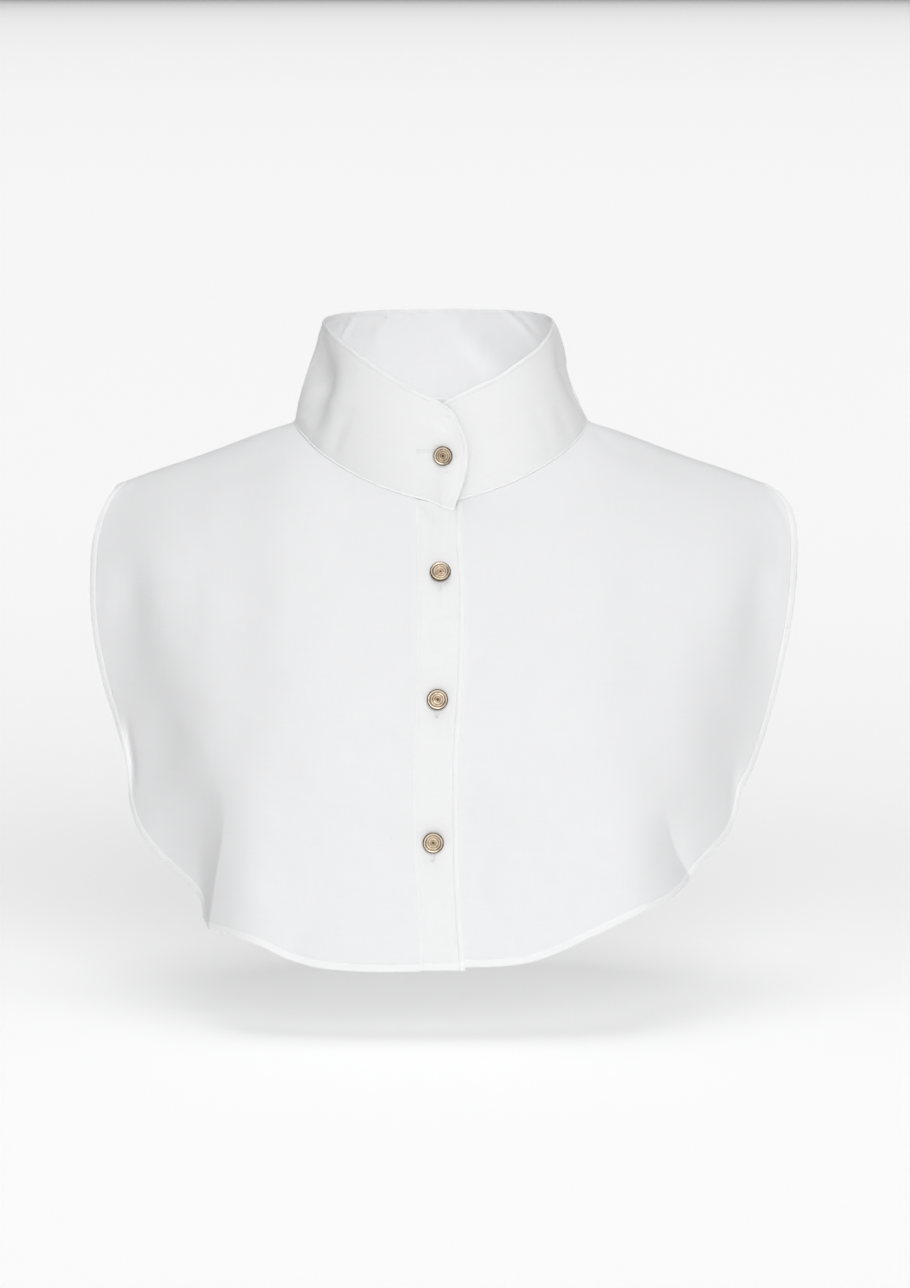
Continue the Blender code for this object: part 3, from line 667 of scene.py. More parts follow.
NAPE_RISE = 22.0
NECK_POINT_HEIGHT = 0.6
BACK_HALF_COLUMNS = 150
BACK_SECTIONS = (
    (0, 36, 49, 63.5, 78, 89.5, 95, 95, 92),
    (38, 24, 43, 59, 75, 87, 93, 93, 90),
    (58, 12, 37, 55, 72, 84.5, 91, 91, 88),
    (76, 2, 31, 51, 68, 81, 88, 88, 85),
    (110, 3, 25, 42, 58, 70, 76, 76, 73),
    (140, 4, 18, 32, 45, 55, 60, 60, 57),
    (165, 5, 13, 23, 33, 41, 45, 45, 43),
    (190, 6, 9, 15, 22, 28, 32, 33, 32),
)
BACK_EDGE = (
    (0.00, 0.0, -229.0), (0.14, 45.0, -227.0), (0.26, 85.0, -218.0), (0.38, 118.0, -201.0),
    (0.49, 142.0, -176.0), (0.60, 158.5, -144.0), (0.71, 169.0, -110.0), (0.81, 175.0, -80.0),
    (0.89, 177.3, -60.0), (0.95, 176.0, -45.5), (1.00, 169.0, -32.4),
)
# The back is cut from another place of the cloth: across, height
BACK_CLOTH_CUT = (17, -40)
# Creases of the back: across, height, depth (the cloth sinks towards the front), two reaches
BACK_CREASES = (
    ((-158, -62, 0.0, 9, 10), (-150, -92, 2.6, 9, 11), (-141, -124, 4.0, 10, 13), (-127, -152, 5.0, 9, 16),
     (-114, -178, 6.5, 6, 18), (-109, -206, 8.0, 5, 20)),
    ((156, -66, 0.0, 9, 10), (147, -98, 2.4, 9, 11), (139, -128, 3.6, 10, 13), (126, -156, 4.8, 9, 16),
     (113, -184, 5.6, 7, 18), (106, -212, 7.0, 6, 20)),
    ((-80, 1, 0.4, 3, 3), (-92, -11, 1.4, 3, 4), (-106, -25, 1.1, 4, 5), (-122, -40, 0.0, 4, 6)),
    ((79, 1, 0.4, 3, 3), (90, -12, 1.3, 3, 4), (103, -28, 1.0, 4, 5), (117, -46, 0.0, 4, 6)),
    ((-36, -4, 0.0, 7, 8), (-41, -24, 1.0, 8, 9), (-48, -52, 0.9, 9, 11), (-56, -84, 0.0, 10, 12)),
    ((33, -4, 0.0, 7, 8), (39, -26, 0.9, 8, 9), (47, -58, 0.8, 9, 11), (52, -90, 0.0, 10, 12)),
    ((-46, -176, 0.0, 10, 12), (-52, -202, 1.8, 9, 11), (-56, -226, 2.8, 8, 10)),
    ((40, -182, 0.0, 10, 12), (45, -206, 1.6, 9, 11), (49, -228, 2.4, 8, 10)),
)


def back_depth(across, height):
    """Outer face of the back, creases included."""
    rise = NAPE_RISE * np.clip(1 - (across / NECK_HALF_WIDTH) ** 2, 0, None)
    drop = np.minimum(shoulder_seam(across, 1), NECK_POINT_HEIGHT) + rise - height
    depth = section_depth(BACK_SECTIONS, across, drop)
    for crease in BACK_CREASES:
        depth = depth - crease_depth(crease, across, height)
    settled = part_way(drop, 0, WAVES_FULL_FROM_SHOULDER)
    return depth - waves(CLOTH_WAVES, -across + BACK_CLOTH_CUT[0], height + BACK_CLOTH_CUT[1]) * settled


half = edge_shares(BACK_HALF_COLUMNS)
ways = np.concatenate([-half[::-1], half[1:]])
sides = np.stack([np.where(ways < 0, -1, 1), np.ones(len(ways))], axis=1)
places, from_edge = panel_places(
    neck_places(180 - 90 * np.abs(ways)) * sides, edge_places(BACK_EDGE, np.abs(ways)) * sides)
back, back_hem = make_panel("back_cloth", places, from_edge, back_depth, (0, -1), SEAM_GAP / 2)
back_hem_stitches = make_thread("back_hem_stitches", back_hem, white_thread)
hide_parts("back")

# The two button bands: strips of the crepe folded double, the upper one about 24 mm wide and the
# under one 17 mm. The upper one is sewn to the right front, stitched along both edges and worked
# with three upright buttonholes. The under one is sewn to the left front and carries the buttons.

BAND_BELOW_COLLAR = 0.05
BAND_BOTTOM = -264.0
BAND_LIFT = 0.35
UNDER_BAND_LIFT = -0.1
UPPER_BAND_OVER_SEAM = 0.15
BAND_THICKNESS = 0.7
BAND_ROWS = 196
BAND_HEM_ROWS = 24
BAND_HEM_SHARE = 0.02
BAND_HEM_LIFT = 0.8
BAND_EDGE_ROWS = (0.0, 0.05, 0.15, 0.32, 0.55, 0.85, 1.2, 1.6, 2.0, 2.4, 2.8, 3.2, 3.6, 4.2)
BAND_MIDDLE_COLUMNS = 20
SEWN_STITCH_LINE = 2.0
FOLDED_STITCH_LINE = 3.2
# Whiteness near the band's sewn and folded edges, partly from turned-in layers and partly a painted
# highlight: share, gone at, full to
SEWN_EDGE_HIGHLIGHT = (0.25, 1.4, 1.0)
FOLDED_EDGE_HIGHLIGHT = (0.24, 2.5, 2.0)
BAND_PUCKER = 0.06
BAND_PUCKER_REACH = 2.6
# How much squarer the sewn edge and the hem are than the round folded edge
SEWN_EDGE_SQUARER = 0.12
BAND_HEM_SQUARER = 0.05

# Lift of the band's face by distance in from its sewn edge and from its folded edge
SEWN_EDGE_SECTION = (
    (0.0, -0.32), (0.6, -0.22), (1.2, -0.06), (1.6, 0.02), (2.0, -0.05), (2.4, 0.0), (CLOTH_END, 0.0),
)
FOLDED_EDGE_SECTION = (
    (0.0, -0.30), (0.55, -0.10), (1.2, 0.08), (2.0, 0.20), (2.4, 0.20), (2.8, 0.02), (3.2, -0.30),
    (3.6, -0.06), (4.2, 0.0), (CLOTH_END, 0.0),
)

# Creases of the upper band, each a line of places: across, height, depth, two reaches
BAND_CREASES = (
    ((-10, -98.5, 0.3, 2.6, 3.2), (-6.5, -94, 0.9, 2.4, 3.2), (-1, -91.4, 1.0, 2.4, 3.2),
     (4, -90.4, 0.8, 2.2, 3.0), (9, -90, 0.3, 2.0, 2.6)),
    ((-9, -114, 0.1, 2.4, 3.0), (-4.8, -111.2, 0.5, 2.2, 3.0), (0.2, -108.7, 0.6, 2.2, 2.8),
     (7, -107.6, 0.2, 2.0, 2.6)),
    ((-12.0, -36.5, 0.7, 2.0, 3.0), (-9.6, -40.0, 1.4, 2.2, 3.2), (-7.2, -43.6, 1.1, 2.4, 3.4),
     (-2.5, -46.5, 0.2, 2.4, 3.4)),
    ((-11, -226, 0.1, 4, 5), (-3, -229, 0.5, 4, 5), (6, -229, 0.2, 4, 5)),
)


def band_depth(across, height):
    """Depth of the upper band's cloth, with its own creases."""
    depth = front_depth(across, height)
    for crease in BAND_CREASES:
        depth = depth + crease_depth(crease, across, height)
    return depth


def make_band(name, depth_of, left_inset, right_inset, set_back, lift):
    """Strip down the middle from the neck seam to the hem, and its two rows of stitches."""
    near = np.array(BAND_EDGE_ROWS)
    down = 1 - np.concatenate([np.linspace(1, BAND_HEM_SHARE, BAND_ROWS),
                               np.linspace(BAND_HEM_SHARE, 0, BAND_HEM_ROWS)[1:]])
    usual = np.linspace(BAND_EDGES[0][1], BAND_EDGES[0][2], 2 * len(near) + BAND_MIDDLE_COLUMNS)
    neck = neck_height(np.degrees(np.arcsin(usual / NECK_HALF_WIDTH))) - BAND_BELOW_COLLAR
    heights = neck[:, None] * (1 - down) + BAND_BOTTOM * down
    left = band_edge(heights, 1) + left_inset
    right = band_edge(heights, 2) - right_inset
    width = right - left
    middle = np.linspace(0, 1, BAND_MIDDLE_COLUMNS + 2)[1:-1, None]
    from_left = np.concatenate([
        np.broadcast_to(near[:, None], (len(near), len(down))),
        near[-1] + middle * (width[len(near):-len(near)] - 2 * near[-1]),
        width[-len(near):] - near[::-1, None],
    ])
    across = left + from_left
    from_right = width - from_left
    from_bottom = heights - BAND_BOTTOM
    outer = np.stack([across, depth_of(across, heights) + set_back, heights], axis=-1)
    directions = face_directions(outer, BIB_MIDDLE)
    rise = lift + from_table(SEWN_EDGE_SECTION, from_left) + from_table(FOLDED_EDGE_SECTION, from_right)
    rise += from_table(HEM_SECTION, from_bottom) * BAND_HEM_LIFT
    pucker = np.sin(heights * 1.21 + 0.4 * np.sin(heights * 0.23)) * BAND_PUCKER
    for distance in (from_left, from_right):
        rise += pucker * fading(distance, BAND_PUCKER_REACH)
    nearest = np.minimum(from_left + SEWN_EDGE_SQUARER, from_right)
    nearest = np.minimum(nearest, from_bottom + BAND_HEM_SQUARER)
    top, under = rounded_edge(nearest, rise, np.full_like(rise, BAND_THICKNESS))
    # Along the band's edges the whiteness is partly a painted highlight; at the hem it is the turned-in
    # layers
    folded_and_highlit = whiter_and_highlit(from_right, *FOLDED_EDGE_HIGHLIGHT) + whiter_and_highlit(from_left, *SEWN_EDGE_HIGHLIGHT)
    folded_and_highlit = np.maximum(folded_and_highlit, whiter_and_highlit(from_bottom, *HEM_WHITER))
    face = raised(outer, directions, top)
    made = sew_shell(name, face, raised(outer, directions, under), grain_of(outer), band_crepe, folded_and_highlit)
    sewn_spot = BAND_EDGE_ROWS.index(SEWN_STITCH_LINE)
    folded_spot = -1 - BAND_EDGE_ROWS.index(FOLDED_STITCH_LINE)
    hem_spot = np.argmin(np.abs(from_bottom[0] - HEM_STITCH_LINE))
    rows = []
    for spot, seed in ((sewn_spot, 3), (folded_spot, 4), ((slice(4, -4), hem_spot), 5)):
        rows += stitch_row(face[spot], directions[spot], seed=seed)
    return made, rows


band_crepe = crepe("band_crepe", (0.860, 0.862, 0.868), slub_height=0.016)
upper_band, upper_rows = make_band(
    "placket_top_cloth", band_depth, -UPPER_BAND_OVER_SEAM, -UPPER_BAND_OUTSET, 0.0, BAND_LIFT)
under_band, under_rows = make_band(
    "placket_under_cloth", front_depth, UNDER_BAND_INSET, UNDER_BAND_INSET, FRONT_LAP, UNDER_BAND_LIFT)

BUTTONHOLE_HALF_WIDTH = 1.25
BUTTONHOLE_HALF_SLIT = 0.20
BUTTONHOLE_STITCH = 0.46
BAR_TACK_HALF_WIDTH = 1.35
BAR_TACK_STITCH = 0.34
BAR_TACK_BEYOND = 0.35
# Upright buttonholes: middle across, top, bottom
UPRIGHT_BUTTONHOLES = ((-0.7, -63.0, -76.3), (-2.2, -123.9, -137.4), (-4.2, -194.5, -208.6))


def buttonhole(start, end, face):
    """Close bars of thread on both sides of a slit from start to end, and a bar tack at each end.
    face gives the point and the direction out of the cloth at a place."""
    start, end = np.array(start, float), np.array(end, float)
    along = (end - start) / np.linalg.norm(end - start)
    side = np.array([-along[1], along[0]])
    count = int(np.linalg.norm(end - start) / BUTTONHOLE_STITCH)
    bars = []

    def bar(first, last):
        points, ups = zip(*(face(*place) for place in (first, last)))
        bars.append((points[0], points[1], unit(ups[0] + ups[1])))

    for k in range(count + 1):
        middle = start + (end - start) * k / count
        for way in (-1, 1):
            outwards = side * way
            lean = along * (0.12 if k % 2 else -0.08)
            bar(middle + outwards * BUTTONHOLE_HALF_SLIT, middle + outwards * BUTTONHOLE_HALF_WIDTH + lean)
    for tip, inward in ((start, 1), (end, -1)):
        for k in range(4):
            middle = tip + along * inward * (k * BAR_TACK_STITCH - BAR_TACK_BEYOND)
            bar(middle - side * BAR_TACK_HALF_WIDTH, middle + side * BAR_TACK_HALF_WIDTH)
    return bars


def on_band(across, height):
    """Point on the upper band's face and the direction out of the cloth there."""
    near = np.array([-0.5, 0.0, 0.5])
    xs, zs = np.meshgrid(across + near, height + near, indexing="ij")
    grid = np.stack([xs, band_depth(xs, zs), zs], axis=-1)
    out = face_directions(grid, BIB_MIDDLE)[1, 1]
    return grid[1, 1] + out * (BAND_LIFT + 0.02), out


for across, top, bottom in UPRIGHT_BUTTONHOLES:
    upper_rows += buttonhole((across, top), (across, bottom), on_band)
upper_band_stitches = make_thread("placket_top_stitches", upper_rows, white_thread)
under_band_stitches = make_thread("placket_under_stitches", under_rows, white_thread)
for band, node, stitches in ((upper_band, "placket_top", upper_band_stitches),
                             (under_band, "placket_under", under_band_stitches)):
    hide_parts(node)

# The stand collar: an outer and an inner layer sewn face to face, turned, and stitched close to the
# edge all round. It stands on the neck seam, where a narrow ridge of turned-in cloth is stitched
# down. The right end laps over the left and has a rounded corner and one level buttonhole.

COLLAR_MIDDLE = (0.0, 0.0, 10.0)
COLLAR_THICKNESS = 0.7
COLLAR_THIN_AT_SEAM = 0.5
COLLAR_FULL_FROM_SEAM = 2.2
COLLAR_LAP = 2.4
COLLAR_TOP_HALF_WIDTH = 61.5
COLLAR_TOP_MIDDLE = -14.0
COLLAR_TOP_FRONT = -66.0
COLLAR_TOP_BACK = 36.0
# The top edge leans in this far on the wearer's left
COLLAR_TOP_LEAN = 2.5
# How far each side is drawn in at its middle; below nought it stands out
COLLAR_WAIST_RIGHT = -1.8
COLLAR_WAIST_LEFT = -0.6
COLLAR_WAIST_LEFT_RISE = 0.6
COLLAR_LAP_FULL_AT = 0.3
COLLAR_OVER_END = -5.9
COLLAR_UNDER_END = 370.5
# The lower corner of the lapped end hangs over the band
COLLAR_HANG = 4.4
COLLAR_HANG_FADE = 7.5
COLLAR_HANG_INWARD = 1.3
COLLAR_HANG_FORWARD = 0.75
COLLAR_CORNER_REACH = 7.2
COLLAR_CORNER_RISE = 1.15
COLLAR_CORNER_FADE = 9.0
COLLAR_COLUMNS = 330
COLLAR_ROWS = 34
COLLAR_EDGE_ROWS = (0.0, 0.05, 0.16, 0.34, 0.6, 0.9, 1.2, 1.5, 1.8, 2.1, 2.4, 2.8, 3.4)
COLLAR_EDGE_STITCH = 2.4
COLLAR_RIDGE_ROWS = (0.0, 0.1, 0.2, 0.32, 0.45, 0.58, 0.7, 0.82, 0.95, 1.08, 1.2, 1.35, 1.5, 1.9, 2.6, 3.4)
COLLAR_RIDGE_STITCH = 1.2
COLLAR_PUCKER = 0.05
# Puckers along the stitches: reach, distance of the middle from the top edge or the neck seam
COLLAR_TOP_PUCKERS = (1.8, 2.4)
COLLAR_SEAM_PUCKERS = (1.6, 3.0)
# The top edge is whiter from here round to the under end: a painted highlight, partly the turned-in layers
COLLAR_EDGE_HIGHLIGHT = (0.6, 1.4, 1.0)
COLLAR_EDGE_HIGHLIGHT_FROM = 285

# Lift of the outer face by distance from the edge, and from the neck seam; inner face the same
COLLAR_EDGE_SECTION = (
    (0.0, 0.0), (0.6, 0.10), (1.2, 0.14), (1.8, 0.10), (2.4, -0.15), (2.8, 0.02), (3.4, 0.0),
    (CLOTH_END, 0.0),
)
COLLAR_RIDGE_SECTION = (
    (0.0, 0.06), (0.2, 0.24), (0.45, 0.40), (0.7, 0.40), (0.95, 0.16), (1.2, -0.06), (1.5, -0.02),
    (1.9, 0.0), (CLOTH_END, 0.0),
)
# Whiteness of the folded ridge by distance from the neck seam, partly its turned-in layers and partly a
# painted highlight
COLLAR_RIDGE_HIGHLIGHT = ((0.08, 0.0), (0.24, 1.0), (0.95, 1.0), (1.12, 0.0))

# Top edge: degrees round from the front by the wearer's right, height
COLLAR_TOP = (
    (-5.9, 11.8), (0, 16.2), (10, 21.0), (20, 26.2), (30, 31.9), (42, 38.8),
    (57, 45.8), (74, 51.4), (90, 54.2), (120, 56.2), (150, 57.0), (180, 57.2),
    (210, 57.0), (240, 56.0), (270, 53.6), (290, 49.2), (305, 41.9), (318, 36.2),
    (331, 28.9), (342, 24.2), (350, 20.4), (360, 15.0), (370.5, 6.5),
)

# Soft folds: way round, height, depth, reach before, reach after. A depth below nought stands out.
COLLAR_CREASES = (
    ((94, 51, 0.8, 9, 10), (88, 44, 4.2, 10, 13), (78, 35, 8.2, 11, 14), (67, 26, 9.2, 10.5, 14),
     (65, 15, 7.8, 9, 13), (62, 5, 3.2, 7, 9), (63, -5, 0.4, 6, 6)),
    ((284, 50, 0.6, 12, 7), (282, 40, 2.6, 15, 9), (282, 30, 4.4, 21, 10.5), (278, 18, 4.4, 26, 12),
     (273, 5, 1.6, 24, 10), (269, -4, 0.2, 14, 8)),
    ((246, 60, 0.0, 5, 5), (257, 58, 1.3, 5, 5), (268, 56, 2.2, 5, 5), (279, 53.5, 1.8, 5, 5),
     (290, 50, 0.0, 5, 5)),
    ((42, 13, 0.1, 3.5, 4), (44, 4, 0.7, 3.5, 4), (46.5, -5, 0.9, 3.5, 4), (47, -14, 0.3, 3.5, 4)),
    ((77, 12, 0.0, 3, 3), (75, 4, 0.3, 3, 3), (70, -3, 0.2, 3, 3)),
    ((319, 19, 0.1, 4, 4), (314, 8, 0.6, 4, 5), (313, -3, 0.5, 4, 4), (313, -12, 0.2, 4, 4)),
    ((303, 13, 0.1, 3, 3), (300, 3, 0.6, 3, 4), (299, -5, 0.3, 3, 3)),
    ((0.5, 8, 0.2, 2.5, 3), (-1.0, 2, 1.2, 2.8, 2.8), (-2.0, -5, 1.0, 2.8, 2.8),
     (-1.0, -12, 0.2, 2.5, 2.5)),
    ((188, 54, -0.5, 7, 9), (193, 42, -1.7, 7, 10), (200, 31, -2.2, 7, 10), (207, 20, -1.4, 7, 10)),
    ((151, 53, -0.5, 4, 4), (149, 43, -1.2, 4, 4), (148, 32, -0.5, 4, 5)),
    ((132, 53, -0.7, 2.5, 3), (130, 46, -1.2, 2.5, 3), (128, 39, -0.3, 3, 3)),
    ((214, 56, -0.7, 2.5, 2.5), (221, 50, -1.5, 2.5, 3), (230, 41, -0.9, 3, 3), (234, 36, 0.0, 3, 3)),
    ((224, 56, -0.9, 2.5, 2.5), (231, 50, -1.7, 2.5, 3), (239, 40, -0.7, 3, 3)),
    ((232, 56, -0.9, 2.5, 2.5), (240, 48, -1.7, 2.5, 3), (246, 38, -0.5, 3, 3)),
    ((242, 55, -1.0, 3, 3), (250, 46, -1.7, 3, 3), (254, 35, -0.7, 3, 3)),
)


def from_collar_end(degrees):
    """Distance round the neck from the lapped end."""
    return np.radians(degrees - COLLAR_OVER_END) * NECK_HALF_WIDTH


def collar_rings(degrees):
    """Points of the neck seam and of the top edge at each angle round the neck."""
    turn = np.radians(degrees)
    hang = fading(from_collar_end(degrees), COLLAR_HANG_FADE)
    across = -NECK_HALF_WIDTH * np.sin(turn) - COLLAR_HANG_INWARD * hang
    height = neck_height(degrees) - COLLAR_HANG * hang
    in_front = np.cos(turn) > 0
    depth = np.where(in_front, front_depth(across, height), back_depth(across, height))
    depth = depth - COLLAR_HANG_FORWARD * hang ** 0.5
    reach = np.where(in_front, COLLAR_TOP_MIDDLE - COLLAR_TOP_FRONT, COLLAR_TOP_BACK - COLLAR_TOP_MIDDLE)
    leftward = (1 - np.sin(turn)) / 2
    top_across = -COLLAR_TOP_HALF_WIDTH * np.sin(turn) - COLLAR_TOP_LEAN * leftward ** 3
    top_depth = COLLAR_TOP_MIDDLE - reach * np.cos(turn)
    seam = np.stack([across, depth, height + SEAM_GAP], axis=-1)
    return seam, np.stack([top_across, top_depth, from_table(COLLAR_TOP, degrees)], axis=-1)


def collar_face(degrees, up):
    """Middle face of the collar; up is the share of the way from the neck seam to the top edge."""
    seam, top = collar_rings(degrees)
    face = seam[:, None] * (1 - up[..., None]) + top[:, None] * up[..., None]
    corner = COLLAR_CORNER_REACH * np.sin(math.pi * up ** COLLAR_CORNER_RISE)
    face[..., 0] += corner * fading(from_collar_end(degrees)[:, None], COLLAR_CORNER_FADE)
    directions = face_directions(face, COLLAR_MIDDLE)
    leftward = (1 - np.sin(np.radians(degrees))) / 2
    sink = (COLLAR_WAIST_RIGHT * (1 - leftward))[:, None] * np.sin(math.pi * up)
    sink = sink + (COLLAR_WAIST_LEFT * leftward)[:, None] * np.sin(math.pi * up ** COLLAR_WAIST_LEFT_RISE)
    for crease in COLLAR_CREASES:
        sink = sink + crease_depth(crease, np.broadcast_to(degrees[:, None], up.shape), face[..., 2])
    under = FRONT_LAP + (COLLAR_LAP - FRONT_LAP) * part_way(up, 0, COLLAR_LAP_FULL_AT)
    sink = sink + np.where(degrees > 270, lap(seam[:, 0], 1.0), 0.0)[:, None] * under
    return face - directions * sink[..., None], directions


end_degrees = np.degrees(np.array(COLLAR_EDGE_ROWS) / NECK_HALF_WIDTH)
degrees = np.concatenate([
    COLLAR_OVER_END + end_degrees[:-1],
    np.linspace(COLLAR_OVER_END + end_degrees[-1], COLLAR_UNDER_END - end_degrees[-1], COLLAR_COLUMNS),
    COLLAR_UNDER_END - end_degrees[-2::-1],
])
seam, top = collar_rings(degrees)
tall = np.linalg.norm(top - seam, axis=1)[:, None]
plain = np.linspace(0, 1, COLLAR_ROWS + 2)[None, 1:-1]
from_seam = np.concatenate([
    np.broadcast_to(COLLAR_RIDGE_ROWS, (len(degrees), len(COLLAR_RIDGE_ROWS))),
    COLLAR_RIDGE_ROWS[-1] + plain * (tall - COLLAR_RIDGE_ROWS[-1] - COLLAR_EDGE_ROWS[-1]),
    tall - np.array(COLLAR_EDGE_ROWS)[None, ::-1],
], axis=1)
from_top = tall - from_seam
outer, directions = collar_face(degrees, from_seam / tall)
from_over_end = from_collar_end(degrees)[:, None]
from_under_end = np.radians(COLLAR_UNDER_END - degrees)[:, None] * NECK_HALF_WIDTH
from_edge = np.minimum(np.minimum(from_top, from_over_end), from_under_end)
edge_lift = from_table(COLLAR_EDGE_SECTION, from_edge)
ridge = from_table(COLLAR_RIDGE_SECTION, from_seam)
pucker = COLLAR_PUCKER * np.sin(np.radians(degrees) * 64 + np.sin(degrees * 0.31))[:, None]
pucker = pucker * (fading(from_top, *COLLAR_TOP_PUCKERS) + fading(from_seam, *COLLAR_SEAM_PUCKERS))
lift = edge_lift + ridge + pucker
grown = part_way(from_seam, 0, COLLAR_FULL_FROM_SEAM)
thickness = COLLAR_THIN_AT_SEAM + (COLLAR_THICKNESS - COLLAR_THIN_AT_SEAM) * grown + edge_lift + ridge
over, under = rounded_edge(from_edge, lift, thickness)
collar_crepe = crepe("collar_crepe", (0.874, 0.875, 0.881), slub_height=0.018)
# The ridge is whiter, partly from its turned-in layers and partly a painted highlight
folded_and_highlit = np.interp(from_seam, *zip(*COLLAR_RIDGE_HIGHLIGHT))
# A painted highlight along the top edge of the collar's right-hand part
folded_and_highlit += whiter_and_highlit(from_top, *COLLAR_EDGE_HIGHLIGHT) * (degrees > COLLAR_EDGE_HIGHLIGHT_FROM)[:, None]
outer_face = raised(outer, directions, over)
inner_face = raised(outer, directions, under)
collar = sew_shell("collar_cloth", outer_face, inner_face, grain_of(outer), collar_crepe, folded_and_highlit)

edge_row = -1 - COLLAR_EDGE_ROWS.index(COLLAR_EDGE_STITCH)
end_column = COLLAR_EDGE_ROWS.index(COLLAR_EDGE_STITCH)
ridge_row = COLLAR_RIDGE_ROWS.index(COLLAR_RIDGE_STITCH)
collar_rows = []
lines = ((slice(end_column, -end_column), edge_row), (slice(None), ridge_row),
         (end_column, slice(ridge_row, edge_row)), (-1 - end_column, slice(ridge_row, edge_row)))
for face, ways, seed in ((outer_face, directions, 11), (inner_face, -directions, 21)):
    for number, line in enumerate(lines):
        collar_rows += stitch_row(face[line], ways[line], seed=seed + number)


def on_collar(across, height):
    """Point of the collar's outer face near its lapped end, on the plane through the nearest corner."""
    near = outer_face[:60]
    spot = np.argmin((near[..., 0] - across) ** 2 + (near[..., 2] - height) ** 2)
    i, j = np.unravel_index(spot, near.shape[:2])
    out = directions[i, j]
    missing = np.array([across - near[i, j, 0], 0.0, height - near[i, j, 2]])
    missing[1] = -(out @ missing) / out[1]
    return near[i, j] + missing, out


COLLAR_BUTTONHOLE = ((-12.0, -8.7), (1.6, -7.6))
collar_rows += buttonhole(*COLLAR_BUTTONHOLE, on_collar)
collar_stitches = make_thread("collar_stitches", collar_rows, white_thread)
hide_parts("collar")

# Four small metal buttons, 10.5 mm across and the collar's a little smaller: turned in pale gold,
# with a dark outer rim, a pale ring, a sunk ring and low steps to a dimple in the middle, each on a
# short shank sewn to the layer below. The grooves, the outer wall and the underside are coloured
# darker than the raised parts: partly patina, partly painted shade.

BUTTON_SIDES = 72
COLLAR_BUTTON = (1.0, -10.6)
COLLAR_BUTTON_SIZE = 0.93
BAND_BUTTONS = ((-0.5, -67.8), (-1.8, -128.6), (-4.0, -199.2))
# Turned section from the shank outwards and back in over the face: radius, height, darkening (partly
# patina, partly painted shade)
BUTTON_SECTION = (
    (1.7, 0.0, 0.6), (1.7, 0.2, 0.7), (1.8, 0.35, 0.9), (2.8, 0.45, 0.9), (4.3, 0.6, 1.0), (4.9, 0.8, 1.0),
    (5.14, 1.05, 1.0), (5.25, 1.35, 1.0), (5.27, 1.7, 1.0), (5.2, 2.0, 1.0), (5.04, 2.22, 1.0),
    (4.82, 2.34, 0.9), (4.64, 2.38, 0.45), (4.48, 2.38, 0.0), (4.28, 2.32, -0.15), (4.08, 2.18, -0.1),
    (3.92, 2.0, 0.3), (3.78, 1.84, 0.9), (3.62, 1.88, 0.75), (3.44, 2.02, 0.35), (3.2, 2.1, 0.2),
    (2.94, 2.08, 0.3), (2.72, 1.98, 0.6), (2.52, 1.92, 0.75), (2.3, 1.98, 0.45), (2.04, 2.06, 0.25),
    (1.78, 2.04, 0.35), (1.54, 1.95, 0.65), (1.34, 1.92, 0.7), (1.1, 1.98, 0.45), (0.84, 1.98, 0.5),
    (0.56, 1.86, 0.85), (0.28, 1.76, 1.0), (0.06, 1.74, 1.0),
)


def pale_gold():
    """Pale gold, brushed round as it was turned, dull and brown in the grooves, on the outer wall and
    underneath: partly patina, partly painted shade.
    """
    made, tree, shader = new_finish("pale_gold")
    patina_and_shade = add_node(tree, "ShaderNodeAttribute", attribute_name="patina_and_shade")
    place = add_node(tree, "ShaderNodeTexCoord")
    cloud = add_node(tree, "ShaderNodeTexNoise")
    set_inputs(cloud, {"Scale": 520.0, "Detail": 3.0})
    tree.links.new(place.outputs["Object"], cloud.inputs["Vector"])
    spread = arithmetic(tree, "MULTIPLY_ADD", cloud.outputs["Fac"], 0.9, -0.45)
    worn_and_shaded = arithmetic(tree, "ADD", patina_and_shade.outputs["Fac"], spread)
    ramp = add_node(tree, "ShaderNodeValToRGB")
    ramp.color_ramp.elements[0].position = 0.0
    ramp.color_ramp.elements[0].color = (0.80, 0.74, 0.63, 1.0)
    ramp.color_ramp.elements[1].position = 1.0
    ramp.color_ramp.elements[1].color = (0.15, 0.095, 0.055, 1.0)
    middle = ramp.color_ramp.elements.new(0.45)
    middle.color = (0.50, 0.38, 0.26, 1.0)
    tree.links.new(worn_and_shaded, ramp.inputs[0])
    tree.links.new(ramp.outputs[0], shader.inputs["Base Color"])
    tree.links.new(arithmetic(tree, "MULTIPLY_ADD", worn_and_shaded, 0.2, 0.42), shader.inputs["Roughness"])
    set_inputs(shader, {"Metallic": 1.0})
    add_bump(tree, shader, cloud.outputs["Fac"], 0.5, 0.08 * METRES_PER_MM)
    return made


